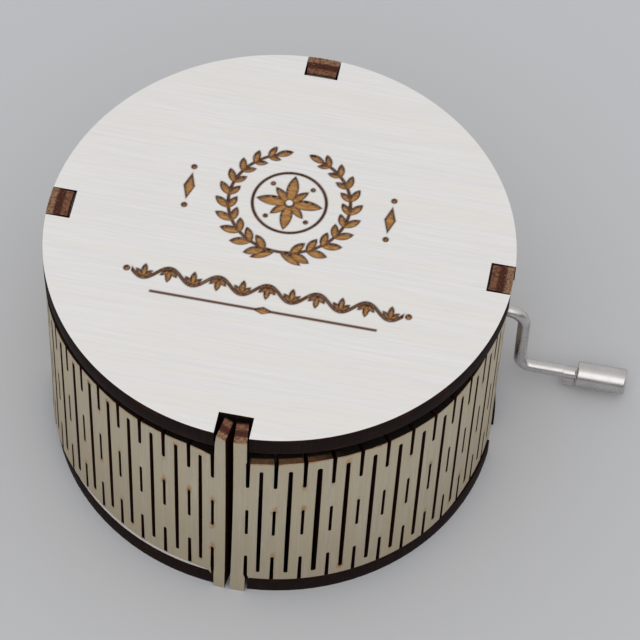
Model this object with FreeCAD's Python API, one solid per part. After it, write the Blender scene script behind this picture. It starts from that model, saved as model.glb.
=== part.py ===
import FreeCAD, Part
import math
import os

# Round plywood music box with a hand crank.
#
# Two discs are joined by one strip of plywood, slit into a living hinge and bent into a ring.
# The strip's tabs sit in notches in the discs. A pinned-cylinder movement stands on the bottom
# disc. Its worm shaft points through the wall, and a bent wire crank with a loose knob is
# screwed into it.
#
# Frame: millimetres, +Z up, origin in the middle of the bottom face. The crank leaves the wall
# towards +X and the strip's seam faces -Y.

V = FreeCAD.Vector
X_AXIS = V(1, 0, 0)
Y_AXIS = V(0, 1, 0)
Z_AXIS = V(0, 0, 1)

# ---- driving dimensions -------------------------------------------------------------------

# Box
disc_diameter = 80.0
disc_ply = 4.0
wall_height = 41.5
wall_ply = 4.0
tab_width = 5.6
tab_side_clearance = 0.12
tab_back_clearance = 0.24

# Living hinge: long slits on the pitch lines, three short ones on each line between
hinge_pitches = 52
seam_gap = 1.1
long_slit_width = 0.62
short_slit_width = 0.5
long_slit_land = 4.5
edge_slit_length = 9.45
middle_slit_length = 7.8
slit_pattern_drop = 0.35

# How the sprung strip stands against the discs' rim
seam_stand_out = 1.1
stand_out_angle = 45.0
left_inset = 0.7
left_inset_angle = 60.0
left_fade_angle = 24.0
left_flare_angle = 9.0

# Crank
crank_y = 15.0
crank_height = 19.1
knob_floor_gap = 0.825
wire_diameter = 2.25
wire_sides = 16
bend_steps = 7
arm_clearance = 0.5
upper_bend_radius = 3.2
lower_bend_radius = 2.2
grip_reach = 11.2
wire_thread_diameter = 1.9
wire_thread_length = 3.8
wall_hole_clearance = 1.9
ear_length = 2.1
ear_width = 3.1
ear_thickness = 1.1
ear_gap = 0.2
rivet_head_diameter = 3.0
rivet_head_thickness = 0.8
knob_diameter = 4.65
knob_length = 8.7
knob_chamfer = 0.3
knob_recess_depth = 1.1

# Worm and wheel
gear_module = 0.5
wheel_teeth = 20
wheel_width = 4.0
worm_pitch_radius = 2.5
worm_turn_count = 4
worm_section_count = 12
backlash = 0.16
pressure_angle = 20.0
shaft_diameter = 3.0
shaft_nose = 4.0

# Pinned cylinder
cylinder_x = 10.0
cylinder_floor_gap = 0.6
cylinder_length = 24.0
cylinder_end_margin = 0.3
cylinder_wall = 0.5
cylinder_to_wheel = 2.5
cap_thickness = 1.5
wheel_hub_radius = 2.2
wheel_hub_length = 1.2
arbor_diameter = 2.0
arbor_overhang = 0.6
pin_size = 0.42
pin_height = 0.5
pin_steps = 28

# Comb
note_count = 18
tooth_gap = 0.35
comb_thickness = 1.2
comb_side_land = 2.3
comb_land_depth = 7.5
bass_tooth_length = 11.4
treble_tooth_length = 8.4
tooth_waist = 0.6
tooth_tip = 0.95
tooth_tip_length = 3.6
weight_count = 8
weight_length = 2.5
weight_height = 2.2
weight_step = 0.2

# Movement frame
base_thickness = 2.4
base_margin_left = 0.8
base_margin_right = 9.0
base_margin_front = 9.0
base_margin_rear = 6.0
base_corner_radius = 2.0
window_clearance = 0.7
bracket_sheet = 1.0
bracket_clearance = 0.5
bracket_front = 3.4
bracket_bend = 0.6
bearing_sheet = 1.2
foot_length = 5.6
bush_width = 4.4
bush_stand_out = 0.3
clip_radius = 2.7
clip_thickness = 0.5
clip_jaw = 2.0

# Screws
mount_screw_diameter = 2.5
mount_screw_length = 6.0
mount_head_diameter = 4.7
frame_screw_diameter = 2.0
frame_head_width = 3.8
frame_head_height = 1.3
screw_sides = 12
bore_sides = 16
slot_width = 0.5
slot_depth = 0.5

# Fits
running_clearance = 0.03
end_play = 0.25
seat_gap = 0.02
hole_clearance = 0.15
tip_clearance = 0.15

# ---- values worked out from them ----------------------------------------------------------

disc_radius = disc_diameter / 2
box_height = 2 * disc_ply + wall_height
wall_top = disc_ply + wall_height

wheel_pitch_radius = gear_module * wheel_teeth / 2
cylinder_height = crank_height - worm_pitch_radius - wheel_pitch_radius
pin_radius = cylinder_height - disc_ply - cylinder_floor_gap
cylinder_radius = pin_radius - pin_height
cylinder_rear = crank_y - wheel_width / 2 - cylinder_to_wheel
cylinder_front = cylinder_rear - cylinder_length
cylinder_middle = (cylinder_front + cylinder_rear) / 2

base_top = disc_ply + base_thickness
comb_top = cylinder_height
comb_under = comb_top - comb_thickness
tooth_tip_x = cylinder_x - pin_radius - tip_clearance
comb_face = tooth_tip_x - bass_tooth_length
comb_back = comb_face - comb_land_depth
note_pitch = (cylinder_length - 2 * cylinder_end_margin) / note_count
comb_width = note_count * note_pitch + 2 * comb_side_land

wheel_tip_radius = wheel_pitch_radius + gear_module
bracket_inner = wheel_tip_radius + bracket_clearance
bracket_left = cylinder_x - bracket_inner - bracket_sheet
bracket_right = cylinder_x + bracket_inner + bracket_sheet
wheel_hub_end = crank_y + wheel_width / 2 + wheel_hub_length
web_front = wheel_hub_end + end_play
web_rear = web_front + bracket_sheet
bearing_rear = cylinder_front - end_play
bearing_front = bearing_rear - bearing_sheet
bearing_half_width = cylinder_height - base_top - bearing_sheet

shaft_radius = shaft_diameter / 2
bush_left = bracket_left - bush_stand_out
bush_right = bracket_right + bush_stand_out
clip_right = bush_left - end_play
clip_left = clip_right - clip_thickness
shaft_start = clip_left - clip_thickness
shaft_end = bracket_right + shaft_nose

arm_x = disc_radius + arm_clearance + wire_diameter / 2
grip_height = knob_floor_gap + knob_diameter / 2
knob_start = arm_x + grip_reach
knob_end = knob_start + knob_length

base_left = comb_back - base_margin_left
base_right = cylinder_x + base_margin_right
base_front = bearing_front - base_margin_front
base_rear = web_rear + base_margin_rear

mount_points = [
    (base_left + 3.6, base_front + 3.6),
    (base_left + 3.6, base_rear - 3.6),
    (base_right - 2.9, base_front + 3.2),
]


# ---- helpers ------------------------------------------------------------------------------

def block(low, high):
    size = high - low
    return Part.makeBox(size.x, size.y, size.z, low)


def rod(start, axis, radius, length):
    return Part.makeCylinder(radius, length, start, axis)


def polygon_face(points):
    return Part.Face(Part.makePolygon(points + [points[0]]))


def skin(rings):
    """A solid through a row of outlines with as many corners each, closed by flat triangles."""
    faces = [polygon_face(rings[0]), polygon_face(rings[-1])]
    for near, far in zip(rings, rings[1:]):
        for corner in range(len(near)):
            faces.append(polygon_face([near[corner - 1], near[corner], far[corner]]))
            faces.append(polygon_face([near[corner - 1], far[corner], far[corner - 1]]))
    shell = Part.Shell(faces)
    shell.sewShape()
    solid = Part.Solid(shell)
    if solid.Volume < 0:
        solid.reverse()
    return solid


def polygon_points(centre, axis, sides, radius):
    """The corners of a regular polygon square to an axis along Y or in the XZ plane."""
    side = X_AXIS if axis.y > 0.5 else Y_AXIS
    up = side.cross(axis)
    points = []
    for corner in range(sides):
        angle = 2 * math.pi * (corner + 0.5) / sides
        points.append(centre + side * radius * math.cos(angle) + up * radius * math.sin(angle))
    return points


def prism(start, axis, sides, radius, length):
    return polygon_face(polygon_points(start, axis, sides, radius)).extrude(axis * length)


def thread(start, axis, diameter, length):
    """A screw thread or a tapped hole, as a plain many-sided bar."""
    return prism(start, axis, screw_sides, diameter / 2, length)


def bore(start, axis, radius, length):
    """A many-sided hole that clears a round pin of this radius."""
    return prism(start, axis, bore_sides, radius / math.cos(math.pi / bore_sides), length)


def save(name, *solids):
    shape = solids[0] if len(solids) == 1 else Part.makeCompound(list(solids))
    shape.exportStep("parts/" + name + ".step")


def frame_screw(x, y, seat, length):
    """A hexagon-head screw that points down, with its head on the height `seat`."""
    shank = thread(V(x, y, seat - length), Z_AXIS, frame_screw_diameter, length)
    corner_radius = frame_head_width / 2 / math.cos(math.pi / 6)
    head = prism(V(x, y, seat), Z_AXIS, 6, corner_radius, frame_head_height)
    return head.fuse(shank)


# ---- the plywood box ----------------------------------------------------------------------

def notch_blocks(low, high, half_width, depth):
    """Four blocks at the quarter points of the rim, `depth` deep from the discs' edge."""
    blocks = []
    for quarter in range(4):
        piece = block(V(disc_radius - depth, -half_width, low),
                      V(disc_radius + wall_ply, half_width, high))
        piece.rotate(V(0, 0, 0), Z_AXIS, 90 * quarter)
        blocks.append(piece)
    return blocks


def notched_disc(bottom):
    plate = rod(V(0, 0, bottom), Z_AXIS, disc_radius, disc_ply)
    half_width = tab_width / 2 + tab_side_clearance
    depth = wall_ply + tab_back_clearance
    return plate.cut(notch_blocks(bottom - 1, bottom + disc_ply + 1, half_width, depth))


def countersink(x, y, gap):
    """A 90 degree screw head with its wide end on the bottom face, larger all round by `gap`."""
    head = mount_head_diameter / 2 + gap
    neck = mount_screw_diameter / 2 + gap
    return skin([polygon_points(V(x, y, 0), Z_AXIS, screw_sides, head),
                 polygon_points(V(x, y, head - neck), Z_AXIS, screw_sides, neck)])


def make_bottom_disc():
    diameter = mount_screw_diameter + 2 * hole_clearance
    holes = [thread(V(x, y, -1), Z_AXIS, diameter, disc_ply + 2) for x, y in mount_points]
    sinks = [countersink(x, y, seat_gap) for x, y in mount_points]
    return notched_disc(0).cut(holes + sinks)


def smooth(share):
    """An S-curve from 0 to 1."""
    share = min(max(share, 0.0), 1.0)
    return share * share * (3 - 2 * share)


def stand_off(turn):
    """How far the strip's outer face stands outside the rim, `turn` degrees round from the seam."""
    if turn <= 180:
        return seam_stand_out * (1 - smooth(turn / stand_out_angle))
    back = 360 - turn
    inset = -left_inset * (1 - smooth((back - left_inset_angle) / left_fade_angle))
    flare = (left_inset + seam_stand_out) * (1 - smooth(back / left_flare_angle))
    return inset + flare


def strip_point(turn, depth):
    angle = math.radians(turn - 90)
    radius = disc_radius + stand_off(turn) - depth
    return V(radius * math.cos(angle), radius * math.sin(angle), 0)


half_seam_turn = math.degrees(seam_gap / 2 / disc_radius)
pitch_turn = (360 - 2 * half_seam_turn) / hinge_pitches


def line_turn(line):
    """Degrees from the seam to a slit line: whole numbers for long slits, halves for short ones."""
    return half_seam_turn + line * pitch_turn


def make_strip():
    """The bent strip at its full height, as flat slats that meet at the long slits."""
    turns = [line_turn(line) for line in range(hinge_pitches + 1)]
    outer = [strip_point(turn, 0) for turn in turns]
    inner = [strip_point(turn, wall_ply) for turn in reversed(turns)]
    return polygon_face(outer + inner).extrude(V(0, 0, box_height))


def slit(turn, width, low, high):
    piece = block(V(disc_radius - 2 * wall_ply, -width / 2, low),
                  V(disc_radius + wall_ply, width / 2, high))
    piece.rotate(V(0, 0, 0), Z_AXIS, turn - 90)
    return piece


def clear_of_tabs(turn):
    """True if an open slit at this turn leaves the tabs' full width standing."""
    offset = abs((turn + 45) % 90 - 45)
    if min(turn, 360 - turn) < 45:
        return True
    reach = math.radians(offset) * disc_radius
    return reach > (tab_width + short_slit_width) / 2


def clear_of_hole(turn, low, high):
    """True if a short slit keeps away from the hole for the crank."""
    across = disc_radius * math.sin(math.radians(turn - 90)) - crank_y
    height = min(max(crank_height, low), high) - crank_height
    on_right = 90 < turn < 180
    radius = wire_diameter / 2 + wall_hole_clearance
    return not on_right or math.hypot(across, height) > radius + 2 * short_slit_width


def hinge_slits():
    slits = []
    middle = disc_ply + wall_height / 2 - slit_pattern_drop
    long_half = wall_height / 2 - long_slit_land
    for line in range(1, hinge_pitches):
        turn = line_turn(line)
        slits.append(slit(turn, long_slit_width, middle - long_half, middle + long_half))
    inner_half = wall_height / 2 - edge_slit_length
    centre = (middle - middle_slit_length / 2, middle + middle_slit_length / 2)
    open_ends = [(disc_ply - 1, middle - inner_half), (middle + inner_half, wall_top + 1)]
    for line in range(hinge_pitches):
        turn = line_turn(line + 0.5)
        spans = [centre] + (open_ends if clear_of_tabs(turn) else [])
        for low, high in spans:
            if clear_of_hole(turn, low, high):
                slits.append(slit(turn, short_slit_width, low, high))
    return slits


def make_flex_wall():
    shoulders = []
    for low in (-1, wall_top):
        ring = rod(V(0, 0, low), Z_AXIS, disc_radius + 2 * wall_ply, disc_ply + 1)
        depth = 3 * wall_ply
        shoulders.append(ring.cut(notch_blocks(low - 1, low + disc_ply + 2, tab_width / 2, depth)))
    hole = rod(V(0, crank_y, crank_height), X_AXIS,
               wire_diameter / 2 + wall_hole_clearance, disc_radius + wall_ply)
    return make_strip().cut(shoulders).cut(hinge_slits() + [hole])


# ---- the movement's frame -----------------------------------------------------------------

def foot_screw_points():
    return [(cylinder_x - bracket_inner / 2, web_rear + foot_length / 2),
            (cylinder_x + bracket_inner / 2, web_rear + foot_length / 2)]


def bearing_screw_point():
    return (cylinder_x, bearing_front - foot_length / 2)


def comb_screw_points():
    x = comb_back + comb_land_depth / 2
    return [(x, cylinder_middle - comb_width / 4), (x, cylinder_middle + comb_width / 4)]


def make_movement_base():
    plate = block(V(base_left, base_front, disc_ply), V(base_right, base_rear, base_top))
    corners = [edge for edge in plate.Edges if edge.BoundBox.ZLength > base_thickness / 2]
    plate = plate.makeFillet(base_corner_radius, corners)
    ledge = block(V(comb_back, cylinder_middle - comb_width / 2, base_top),
                  V(comb_face, cylinder_middle + comb_width / 2, comb_under))
    drop = cylinder_height - base_top
    reach = max(pin_radius, wheel_tip_radius)
    half_window = math.sqrt(reach ** 2 - drop ** 2) + window_clearance
    window = block(V(cylinder_x - half_window, bearing_rear, disc_ply - 1),
                   V(cylinder_x + half_window, wheel_hub_end, base_top + 1))
    tapping = frame_screw_diameter + 2 * seat_gap
    tapped = [thread(V(x, y, disc_ply - 1), Z_AXIS, tapping, base_thickness + 2)
              for x, y in foot_screw_points() + [bearing_screw_point()]]
    tapped += [thread(V(x, y, base_top), Z_AXIS, tapping, comb_under)
               for x, y in comb_screw_points()]
    mount_tapping = mount_screw_diameter + 2 * seat_gap
    tapped += [thread(V(x, y, disc_ply - 1), Z_AXIS, mount_tapping, base_thickness + 2)
               for x, y in mount_points]
    return plate.fuse(ledge).cut([window] + tapped)


def make_front_bearing():
    """A bent sheet plate: a foot under the screw and an upright with the arbor's front hole."""
    foot_top = base_top + bearing_sheet
    upright = block(V(cylinder_x - bearing_half_width, bearing_front, base_top),
                    V(cylinder_x + bearing_half_width, bearing_rear, cylinder_height))
    crown = rod(V(cylinder_x, bearing_front, cylinder_height), Y_AXIS,
                bearing_half_width, bearing_sheet)
    foot = block(V(cylinder_x - bearing_half_width, bearing_front - foot_length, base_top),
                 V(cylinder_x + bearing_half_width, bearing_front, foot_top))
    hole = bore(V(cylinder_x, bearing_front - 1, cylinder_height), Y_AXIS,
                arbor_diameter / 2 + running_clearance, bearing_sheet + 2)
    x, y = bearing_screw_point()
    screw_hole = thread(V(x, y, base_top - 1), Z_AXIS,
                        frame_screw_diameter + 2 * hole_clearance, bearing_sheet + 2)
    return upright.fuse([crown, foot]).removeSplitter().cut([hole, screw_hole])


def make_gear_bracket():
    """A bent sheet bracket: a rear web for the arbor and two cheeks for the worm shaft."""
    cheek_front = crank_y - bracket_front
    cheek_top = crank_height + bracket_front
    foot_top = base_top + bracket_sheet
    outer = block(V(bracket_left, cheek_front, base_top), V(bracket_right, web_rear, cheek_top))
    bends = [edge for edge in outer.Edges
             if edge.BoundBox.ZLength > base_thickness and edge.BoundBox.YMin > crank_y]
    outer = outer.makeFillet(bracket_bend + bracket_sheet, bends)
    hollow = block(V(bracket_left + bracket_sheet, cheek_front - 1, base_top - 1),
                   V(bracket_right - bracket_sheet, web_front, cheek_top + 1))
    bends = [edge for edge in hollow.Edges
             if edge.BoundBox.ZLength > base_thickness and edge.BoundBox.YMin > crank_y]
    hollow = hollow.makeFillet(bracket_bend, bends)
    web_top = cylinder_height + bearing_half_width
    side = Part.makePolygon([
        V(0, cheek_front, base_top), V(0, cheek_front, crank_height)])
    crown = Part.Arc(V(0, cheek_front, crank_height), V(0, crank_y, cheek_top),
                     V(0, crank_y + bracket_front, crank_height)).toShape()
    rear = Part.makePolygon([
        V(0, crank_y + bracket_front, crank_height), V(0, web_rear, web_top),
        V(0, web_rear, base_top), V(0, cheek_front, base_top)])
    outline = Part.Face(Part.Wire(side.Edges + [crown] + rear.Edges))
    outline.translate(V(bracket_left - 1, 0, 0))
    keep = outline.extrude(V(bracket_right - bracket_left + 2, 0, 0))
    foot = block(V(bracket_left + bracket_bend, web_rear - bracket_sheet / 2, base_top),
                 V(bracket_right - bracket_bend, web_rear + foot_length, foot_top))
    arbor_hole = bore(V(cylinder_x, web_front - 1, cylinder_height), Y_AXIS,
                      arbor_diameter / 2 + running_clearance, bracket_sheet + 2)
    bush_hole = bush_body(bracket_left - 1, bracket_right - bracket_left + 2, seat_gap)
    screw_holes = [thread(V(x, y, base_top - 1), Z_AXIS,
                          frame_screw_diameter + 2 * hole_clearance, bracket_sheet + 2)
                   for x, y in foot_screw_points()]
    shell = outer.cut(hollow).common(keep).fuse(foot).removeSplitter()
    return shell.cut([arbor_hole, bush_hole] + screw_holes)


def bush_body(start, length, gap):
    """A hexagonal bar on the crank's axis, so that a bush can't turn in its bracket."""
    corner_radius = (bush_width / 2 + gap) / math.cos(math.pi / 6)
    return prism(V(start, crank_y, crank_height), X_AXIS, 6, corner_radius, length)


def make_bush(start):
    length = bracket_sheet + 2 * bush_stand_out
    hole = bore(V(start - 1, crank_y, crank_height), X_AXIS,
                shaft_radius + running_clearance, length + 2)
    return bush_body(start, length, 0).cut(hole)


def make_mount_screw(x, y):
    """A countersunk screw from below, its slotted head flush with the bottom face."""
    shank = thread(V(x, y, 0), Z_AXIS, mount_screw_diameter, mount_screw_length)
    slot = block(V(x - mount_head_diameter, y - slot_width / 2, -slot_depth),
                 V(x + mount_head_diameter, y + slot_width / 2, slot_depth))
    return countersink(x, y, 0).fuse(shank).removeSplitter().cut(slot)


# ---- the comb -----------------------------------------------------------------------------

def tooth_y(note):
    return cylinder_middle + (note - (note_count - 1) / 2) * note_pitch


def tooth_root(note):
    """Where the gap beside a tooth ends: long bass teeth in front, short treble ones behind."""
    share = note / (note_count - 1)
    length = bass_tooth_length + (treble_tooth_length - bass_tooth_length) * share
    return tooth_tip_x - length


def make_comb():
    front = cylinder_middle - comb_width / 2
    waist = comb_top - tooth_waist
    tip = comb_top - tooth_tip
    tip_start = tooth_tip_x - tooth_tip_length
    profile = [
        V(comb_back, front, comb_under),
        V(comb_face, front, comb_under),
        V(comb_face + comb_thickness, front, waist),
        V(tip_start - tooth_waist, front, waist),
        V(tip_start, front, tip),
        V(tooth_tip_x, front, tip),
        V(tooth_tip_x, front, comb_top),
        V(comb_back, front, comb_top),
    ]
    blank = polygon_face(profile).extrude(V(0, comb_width, 0))
    gaps = []
    for note in range(note_count - 1):
        middle = tooth_y(note) + note_pitch / 2
        gaps.append(block(V(tooth_root(note), middle - tooth_gap / 2, comb_under - 1),
                          V(tooth_tip_x + 1, middle + tooth_gap / 2, comb_top + 1)))
    half_tooth = (note_pitch - tooth_gap) / 2
    first = tooth_y(0) - half_tooth
    last = tooth_y(note_count - 1) + half_tooth
    gaps.append(block(V(tooth_root(0), front - 1, comb_under - 1),
                      V(tooth_tip_x + 1, first, comb_top + 1)))
    gaps.append(block(V(tooth_root(note_count - 1), last, comb_under - 1),
                      V(tooth_tip_x + 1, front + comb_width + 1, comb_top + 1)))
    diameter = frame_screw_diameter + 2 * hole_clearance
    holes = [thread(V(x, y, comb_under - 1), Z_AXIS, diameter, comb_thickness + 2)
             for x, y in comb_screw_points()]
    return blank.cut(gaps + holes)


def make_comb_weights():
    """Lead blocks under the tips of the bass teeth, the deepest note's the tallest."""
    weights = []
    half_width = (note_pitch - 2 * tooth_gap) / 2
    top = comb_top - tooth_tip
    start = tooth_tip_x - tooth_tip_length + tooth_gap
    for note in range(weight_count):
        bottom = top - weight_height + weight_step * note
        weights.append(block(V(start, tooth_y(note) - half_width, bottom),
                             V(start + weight_length, tooth_y(note) + half_width, top)))
    return weights


# ---- the pinned cylinder ------------------------------------------------------------------

def on_cylinder_axis(y):
    return V(cylinder_x, y, cylinder_height)


def make_sleeve():
    tube = rod(on_cylinder_axis(cylinder_front), Y_AXIS, cylinder_radius, cylinder_length)
    hollow = rod(on_cylinder_axis(cylinder_front - 1), Y_AXIS,
                 cylinder_radius - cylinder_wall, cylinder_length + 2)
    return tube.cut(hollow)


def make_cap(start):
    """A round end cap pressed into the sleeve, bored for the arbor."""
    radius = cylinder_radius - cylinder_wall - seat_gap
    disc = rod(on_cylinder_axis(start), Y_AXIS, radius, cap_thickness)
    hole = bore(on_cylinder_axis(start - 1), Y_AXIS,
                arbor_diameter / 2 + seat_gap, cap_thickness + 2)
    return disc.cut(hole)


def make_arbor():
    start = bearing_front - arbor_overhang
    return rod(on_cylinder_axis(start), Y_AXIS, arbor_diameter / 2,
               web_rear + arbor_overhang - start)


def make_pins():
    """Square pins that follow a plain repeating arpeggio, one to three notes on each beat."""
    pins = []
    for step in range(pin_steps):
        notes = {(5 * step) % note_count}
        if step % 2 == 0:
            notes.add((5 * step + 9) % note_count)
        if step % 4 == 0:
            notes.add((5 * step + 4) % note_count)
        for note in sorted(notes):
            pin = block(V(-pin_size / 2, tooth_y(note) - pin_size / 2, cylinder_radius),
                        V(pin_size / 2, tooth_y(note) + pin_size / 2, pin_radius))
            pin.rotate(V(0, 0, 0), Y_AXIS, 360 * (step + 0.5) / pin_steps)
            pin.translate(V(cylinder_x, 0, cylinder_height))
            pins.append(pin)
    return pins


# ---- worm and wheel -----------------------------------------------------------------------

lead = math.pi * gear_module
worm_lead_slope = lead / (2 * math.pi * worm_pitch_radius)
wheel_root_radius = wheel_pitch_radius - 1.25 * gear_module
worm_root_radius = worm_pitch_radius - 1.25 * gear_module
worm_tip_radius = worm_pitch_radius + gear_module


def involute(angle):
    return math.tan(angle) - angle


def half_tooth_angle(radius):
    """Half the angle that an involute tooth spans at a radius, less half its share of backlash."""
    pressure = math.radians(pressure_angle)
    base_radius = wheel_pitch_radius * math.cos(pressure)
    local = math.acos(min(base_radius / radius, 1.0))
    full = math.pi / (2 * wheel_teeth) + involute(pressure) - involute(local)
    return full - backlash / 4 / wheel_pitch_radius


def wheel_outline(y, twist):
    """The wheel's closed outline with a tooth space on top, turned by `twist` radians."""
    points = []
    for tooth in range(wheel_teeth):
        middle = 2 * math.pi * (tooth + 0.5) / wheel_teeth + twist
        flank = [(radius, half_tooth_angle(radius))
                 for radius in (wheel_root_radius, wheel_pitch_radius, wheel_tip_radius)]
        sides = [(radius, -half) for radius, half in flank] + \
                [(radius, half) for radius, half in reversed(flank)]
        for radius, offset in sides:
            angle = middle + offset
            points.append(V(cylinder_x + radius * math.sin(angle), y,
                            cylinder_height + radius * math.cos(angle)))
    return points


def make_worm_wheel():
    """A helical wheel whose tooth slant follows the worm's thread, with a hub on each side.

    The front hub reaches to the cylinder's rear cap, the rear one to the bracket's web.
    """
    twist = worm_lead_slope * wheel_width / 2 / wheel_pitch_radius
    rim = skin([wheel_outline(crank_y - wheel_width / 2, -twist),
                wheel_outline(crank_y + wheel_width / 2, twist)])
    hub_length = wheel_hub_end - cylinder_rear
    hub = rod(on_cylinder_axis(cylinder_rear), Y_AXIS, wheel_hub_radius, hub_length)
    hole = bore(on_cylinder_axis(cylinder_rear - 1), Y_AXIS,
                arbor_diameter / 2 + seat_gap, hub_length + 2)
    return rim.fuse(hub).cut(hole)


def thread_section(step):
    """The worm thread's trapezoid, one step further round and along the local Z axis."""
    half_width = lead / 4 - backlash / 4
    slope = math.tan(math.radians(pressure_angle))
    inner = 0.9 * worm_root_radius
    foot = half_width + (worm_pitch_radius - inner) * slope
    crest = half_width - (worm_tip_radius - worm_pitch_radius) * slope
    angle = 2 * math.pi * step / worm_section_count
    along = lead * step / worm_section_count
    return [V(radius * math.cos(angle), radius * math.sin(angle), along + offset)
            for radius, offset in ((inner, -foot), (worm_tip_radius, -crest),
                                   (worm_tip_radius, crest), (inner, foot))]


def make_worm():
    """A single-start right-hand worm, its thread centred over the wheel's tooth space."""
    half_steps = worm_turn_count * worm_section_count // 2
    sections = [thread_section(step) for step in range(-half_steps, half_steps + 1)]
    helix = skin(sections)
    half_body = bracket_inner - bush_stand_out - end_play
    sides = 2 * worm_section_count
    core = prism(V(0, 0, -half_body), Z_AXIS, sides, worm_root_radius, 2 * half_body)
    hole = bore(V(0, 0, -half_body - 1), Z_AXIS, shaft_radius + seat_gap, 2 * half_body + 2)
    worm = core.fuse(helix).cut(hole)
    worm.rotate(V(0, 0, 0), Y_AXIS, 90)
    worm.translate(V(cylinder_x, crank_y, crank_height))
    return worm


def on_crank_axis(x):
    return V(x, crank_y, crank_height)


def make_worm_shaft():
    shaft = rod(on_crank_axis(shaft_start), X_AXIS, shaft_radius, shaft_end - shaft_start)
    tapping = thread(on_crank_axis(shaft_end - shaft_nose), X_AXIS,
                     wire_thread_diameter + 2 * seat_gap, shaft_nose + 1)
    return shaft.cut(tapping)


def make_shaft_clip():
    """A push-on retaining clip, open below, near the shaft's inner end."""
    ring = rod(on_crank_axis(clip_left), X_AXIS, clip_radius, clip_thickness)
    throat = bore(on_crank_axis(clip_left), X_AXIS, shaft_radius + seat_gap, clip_thickness)
    jaw = block(V(clip_left, crank_y - clip_jaw / 2, crank_height - 2 * clip_radius),
                V(clip_right, crank_y + clip_jaw / 2, crank_height))
    return ring.cut([throat, jaw])


# ---- the crank ----------------------------------------------------------------------------

def bend_rings(corner, before, after, radius):
    """The wire's outlines round a quarter bend between two unit directions."""
    centre = corner + (after - before) * radius
    rings = []
    for step in range(bend_steps + 1):
        angle = math.pi / 2 * step / bend_steps
        middle = centre + (before * math.sin(angle) - after * math.cos(angle)) * radius
        heading = before * math.cos(angle) + after * math.sin(angle)
        rings.append(polygon_points(middle, heading, wire_sides, wire_diameter / 2))
    return rings


def make_crank_wire():
    down = V(0, 0, -1)
    start = on_crank_axis(shaft_end)
    upper = on_crank_axis(arm_x)
    lower = V(arm_x, crank_y, grip_height)
    rivet_start = knob_end - knob_recess_depth + end_play
    tip = V(rivet_start, crank_y, grip_height)
    rings = [polygon_points(start, X_AXIS, wire_sides, wire_diameter / 2)]
    rings += bend_rings(upper, X_AXIS, down, upper_bend_radius)
    rings += bend_rings(lower, down, X_AXIS, lower_bend_radius)
    rings.append(polygon_points(tip, X_AXIS, wire_sides, wire_diameter / 2))
    screwed_end = thread(start - X_AXIS * wire_thread_length, X_AXIS,
                         wire_thread_diameter, wire_thread_length)
    rivet = rod(tip, X_AXIS, rivet_head_diameter / 2, rivet_head_thickness)
    ear_end = knob_start - ear_gap
    ears = block(V(ear_end - ear_length, crank_y - ear_thickness / 2, grip_height - ear_width / 2),
                 V(ear_end, crank_y + ear_thickness / 2, grip_height + ear_width / 2))
    corners = [edge for edge in ears.Edges if edge.BoundBox.YLength > ear_thickness / 2]
    ears = ears.makeChamfer(ear_width / 6, corners)
    return skin(rings).fuse([screwed_end, rivet, ears])


def make_crank_knob():
    axis_start = V(knob_start, crank_y, grip_height)
    body = rod(axis_start, X_AXIS, knob_diameter / 2, knob_length)
    rims = [edge for edge in body.Edges if edge.BoundBox.XLength < knob_chamfer]
    body = body.makeChamfer(knob_chamfer, rims)
    hole = bore(axis_start - X_AXIS, X_AXIS,
                wire_diameter / 2 + running_clearance, knob_length + 2)
    recess = bore(axis_start + X_AXIS * (knob_length - knob_recess_depth), X_AXIS,
                  rivet_head_diameter / 2 + running_clearance, knob_recess_depth + 1)
    return body.cut([hole, recess])


# ---- write every piece --------------------------------------------------------------------

def main():
    os.makedirs("parts", exist_ok=True)
    save("bottom_disc", make_bottom_disc())
    save("top_disc", notched_disc(wall_top))
    save("flex_wall", make_flex_wall())
    save("mounting_screws", *[make_mount_screw(x, y) for x, y in mount_points])

    save("movement_base", make_movement_base())
    save("front_bearing", make_front_bearing())
    bearing_seat = base_top + bearing_sheet
    save("front_bearing_screw",
         frame_screw(*bearing_screw_point(), bearing_seat,
                     bearing_sheet + base_thickness - seat_gap))
    save("gear_bracket", make_gear_bracket())
    save("bracket_screws",
         *[frame_screw(x, y, base_top + bracket_sheet,
                       bracket_sheet + base_thickness - seat_gap)
           for x, y in foot_screw_points()])
    save("shaft_bush_inner", make_bush(bush_left))
    save("shaft_bush_outer", make_bush(bush_right - bracket_sheet - 2 * bush_stand_out))

    save("comb", make_comb())
    save("comb_weights", *make_comb_weights())
    save("comb_screws",
         *[frame_screw(x, y, comb_top, comb_top - base_top - seat_gap)
           for x, y in comb_screw_points()])

    save("cylinder_sleeve", make_sleeve())
    save("cylinder_pins", *make_pins())
    save("front_end_cap", make_cap(cylinder_front))
    save("rear_end_cap", make_cap(cylinder_rear - cap_thickness))
    save("cylinder_arbor", make_arbor())
    save("worm_wheel", make_worm_wheel())

    save("worm", make_worm())
    save("worm_shaft", make_worm_shaft())
    save("shaft_clip", make_shaft_clip())
    save("crank_wire", make_crank_wire())
    save("crank_knob", make_crank_knob())


main()
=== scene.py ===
"""A round plywood music box with a hand crank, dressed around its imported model."""

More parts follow.
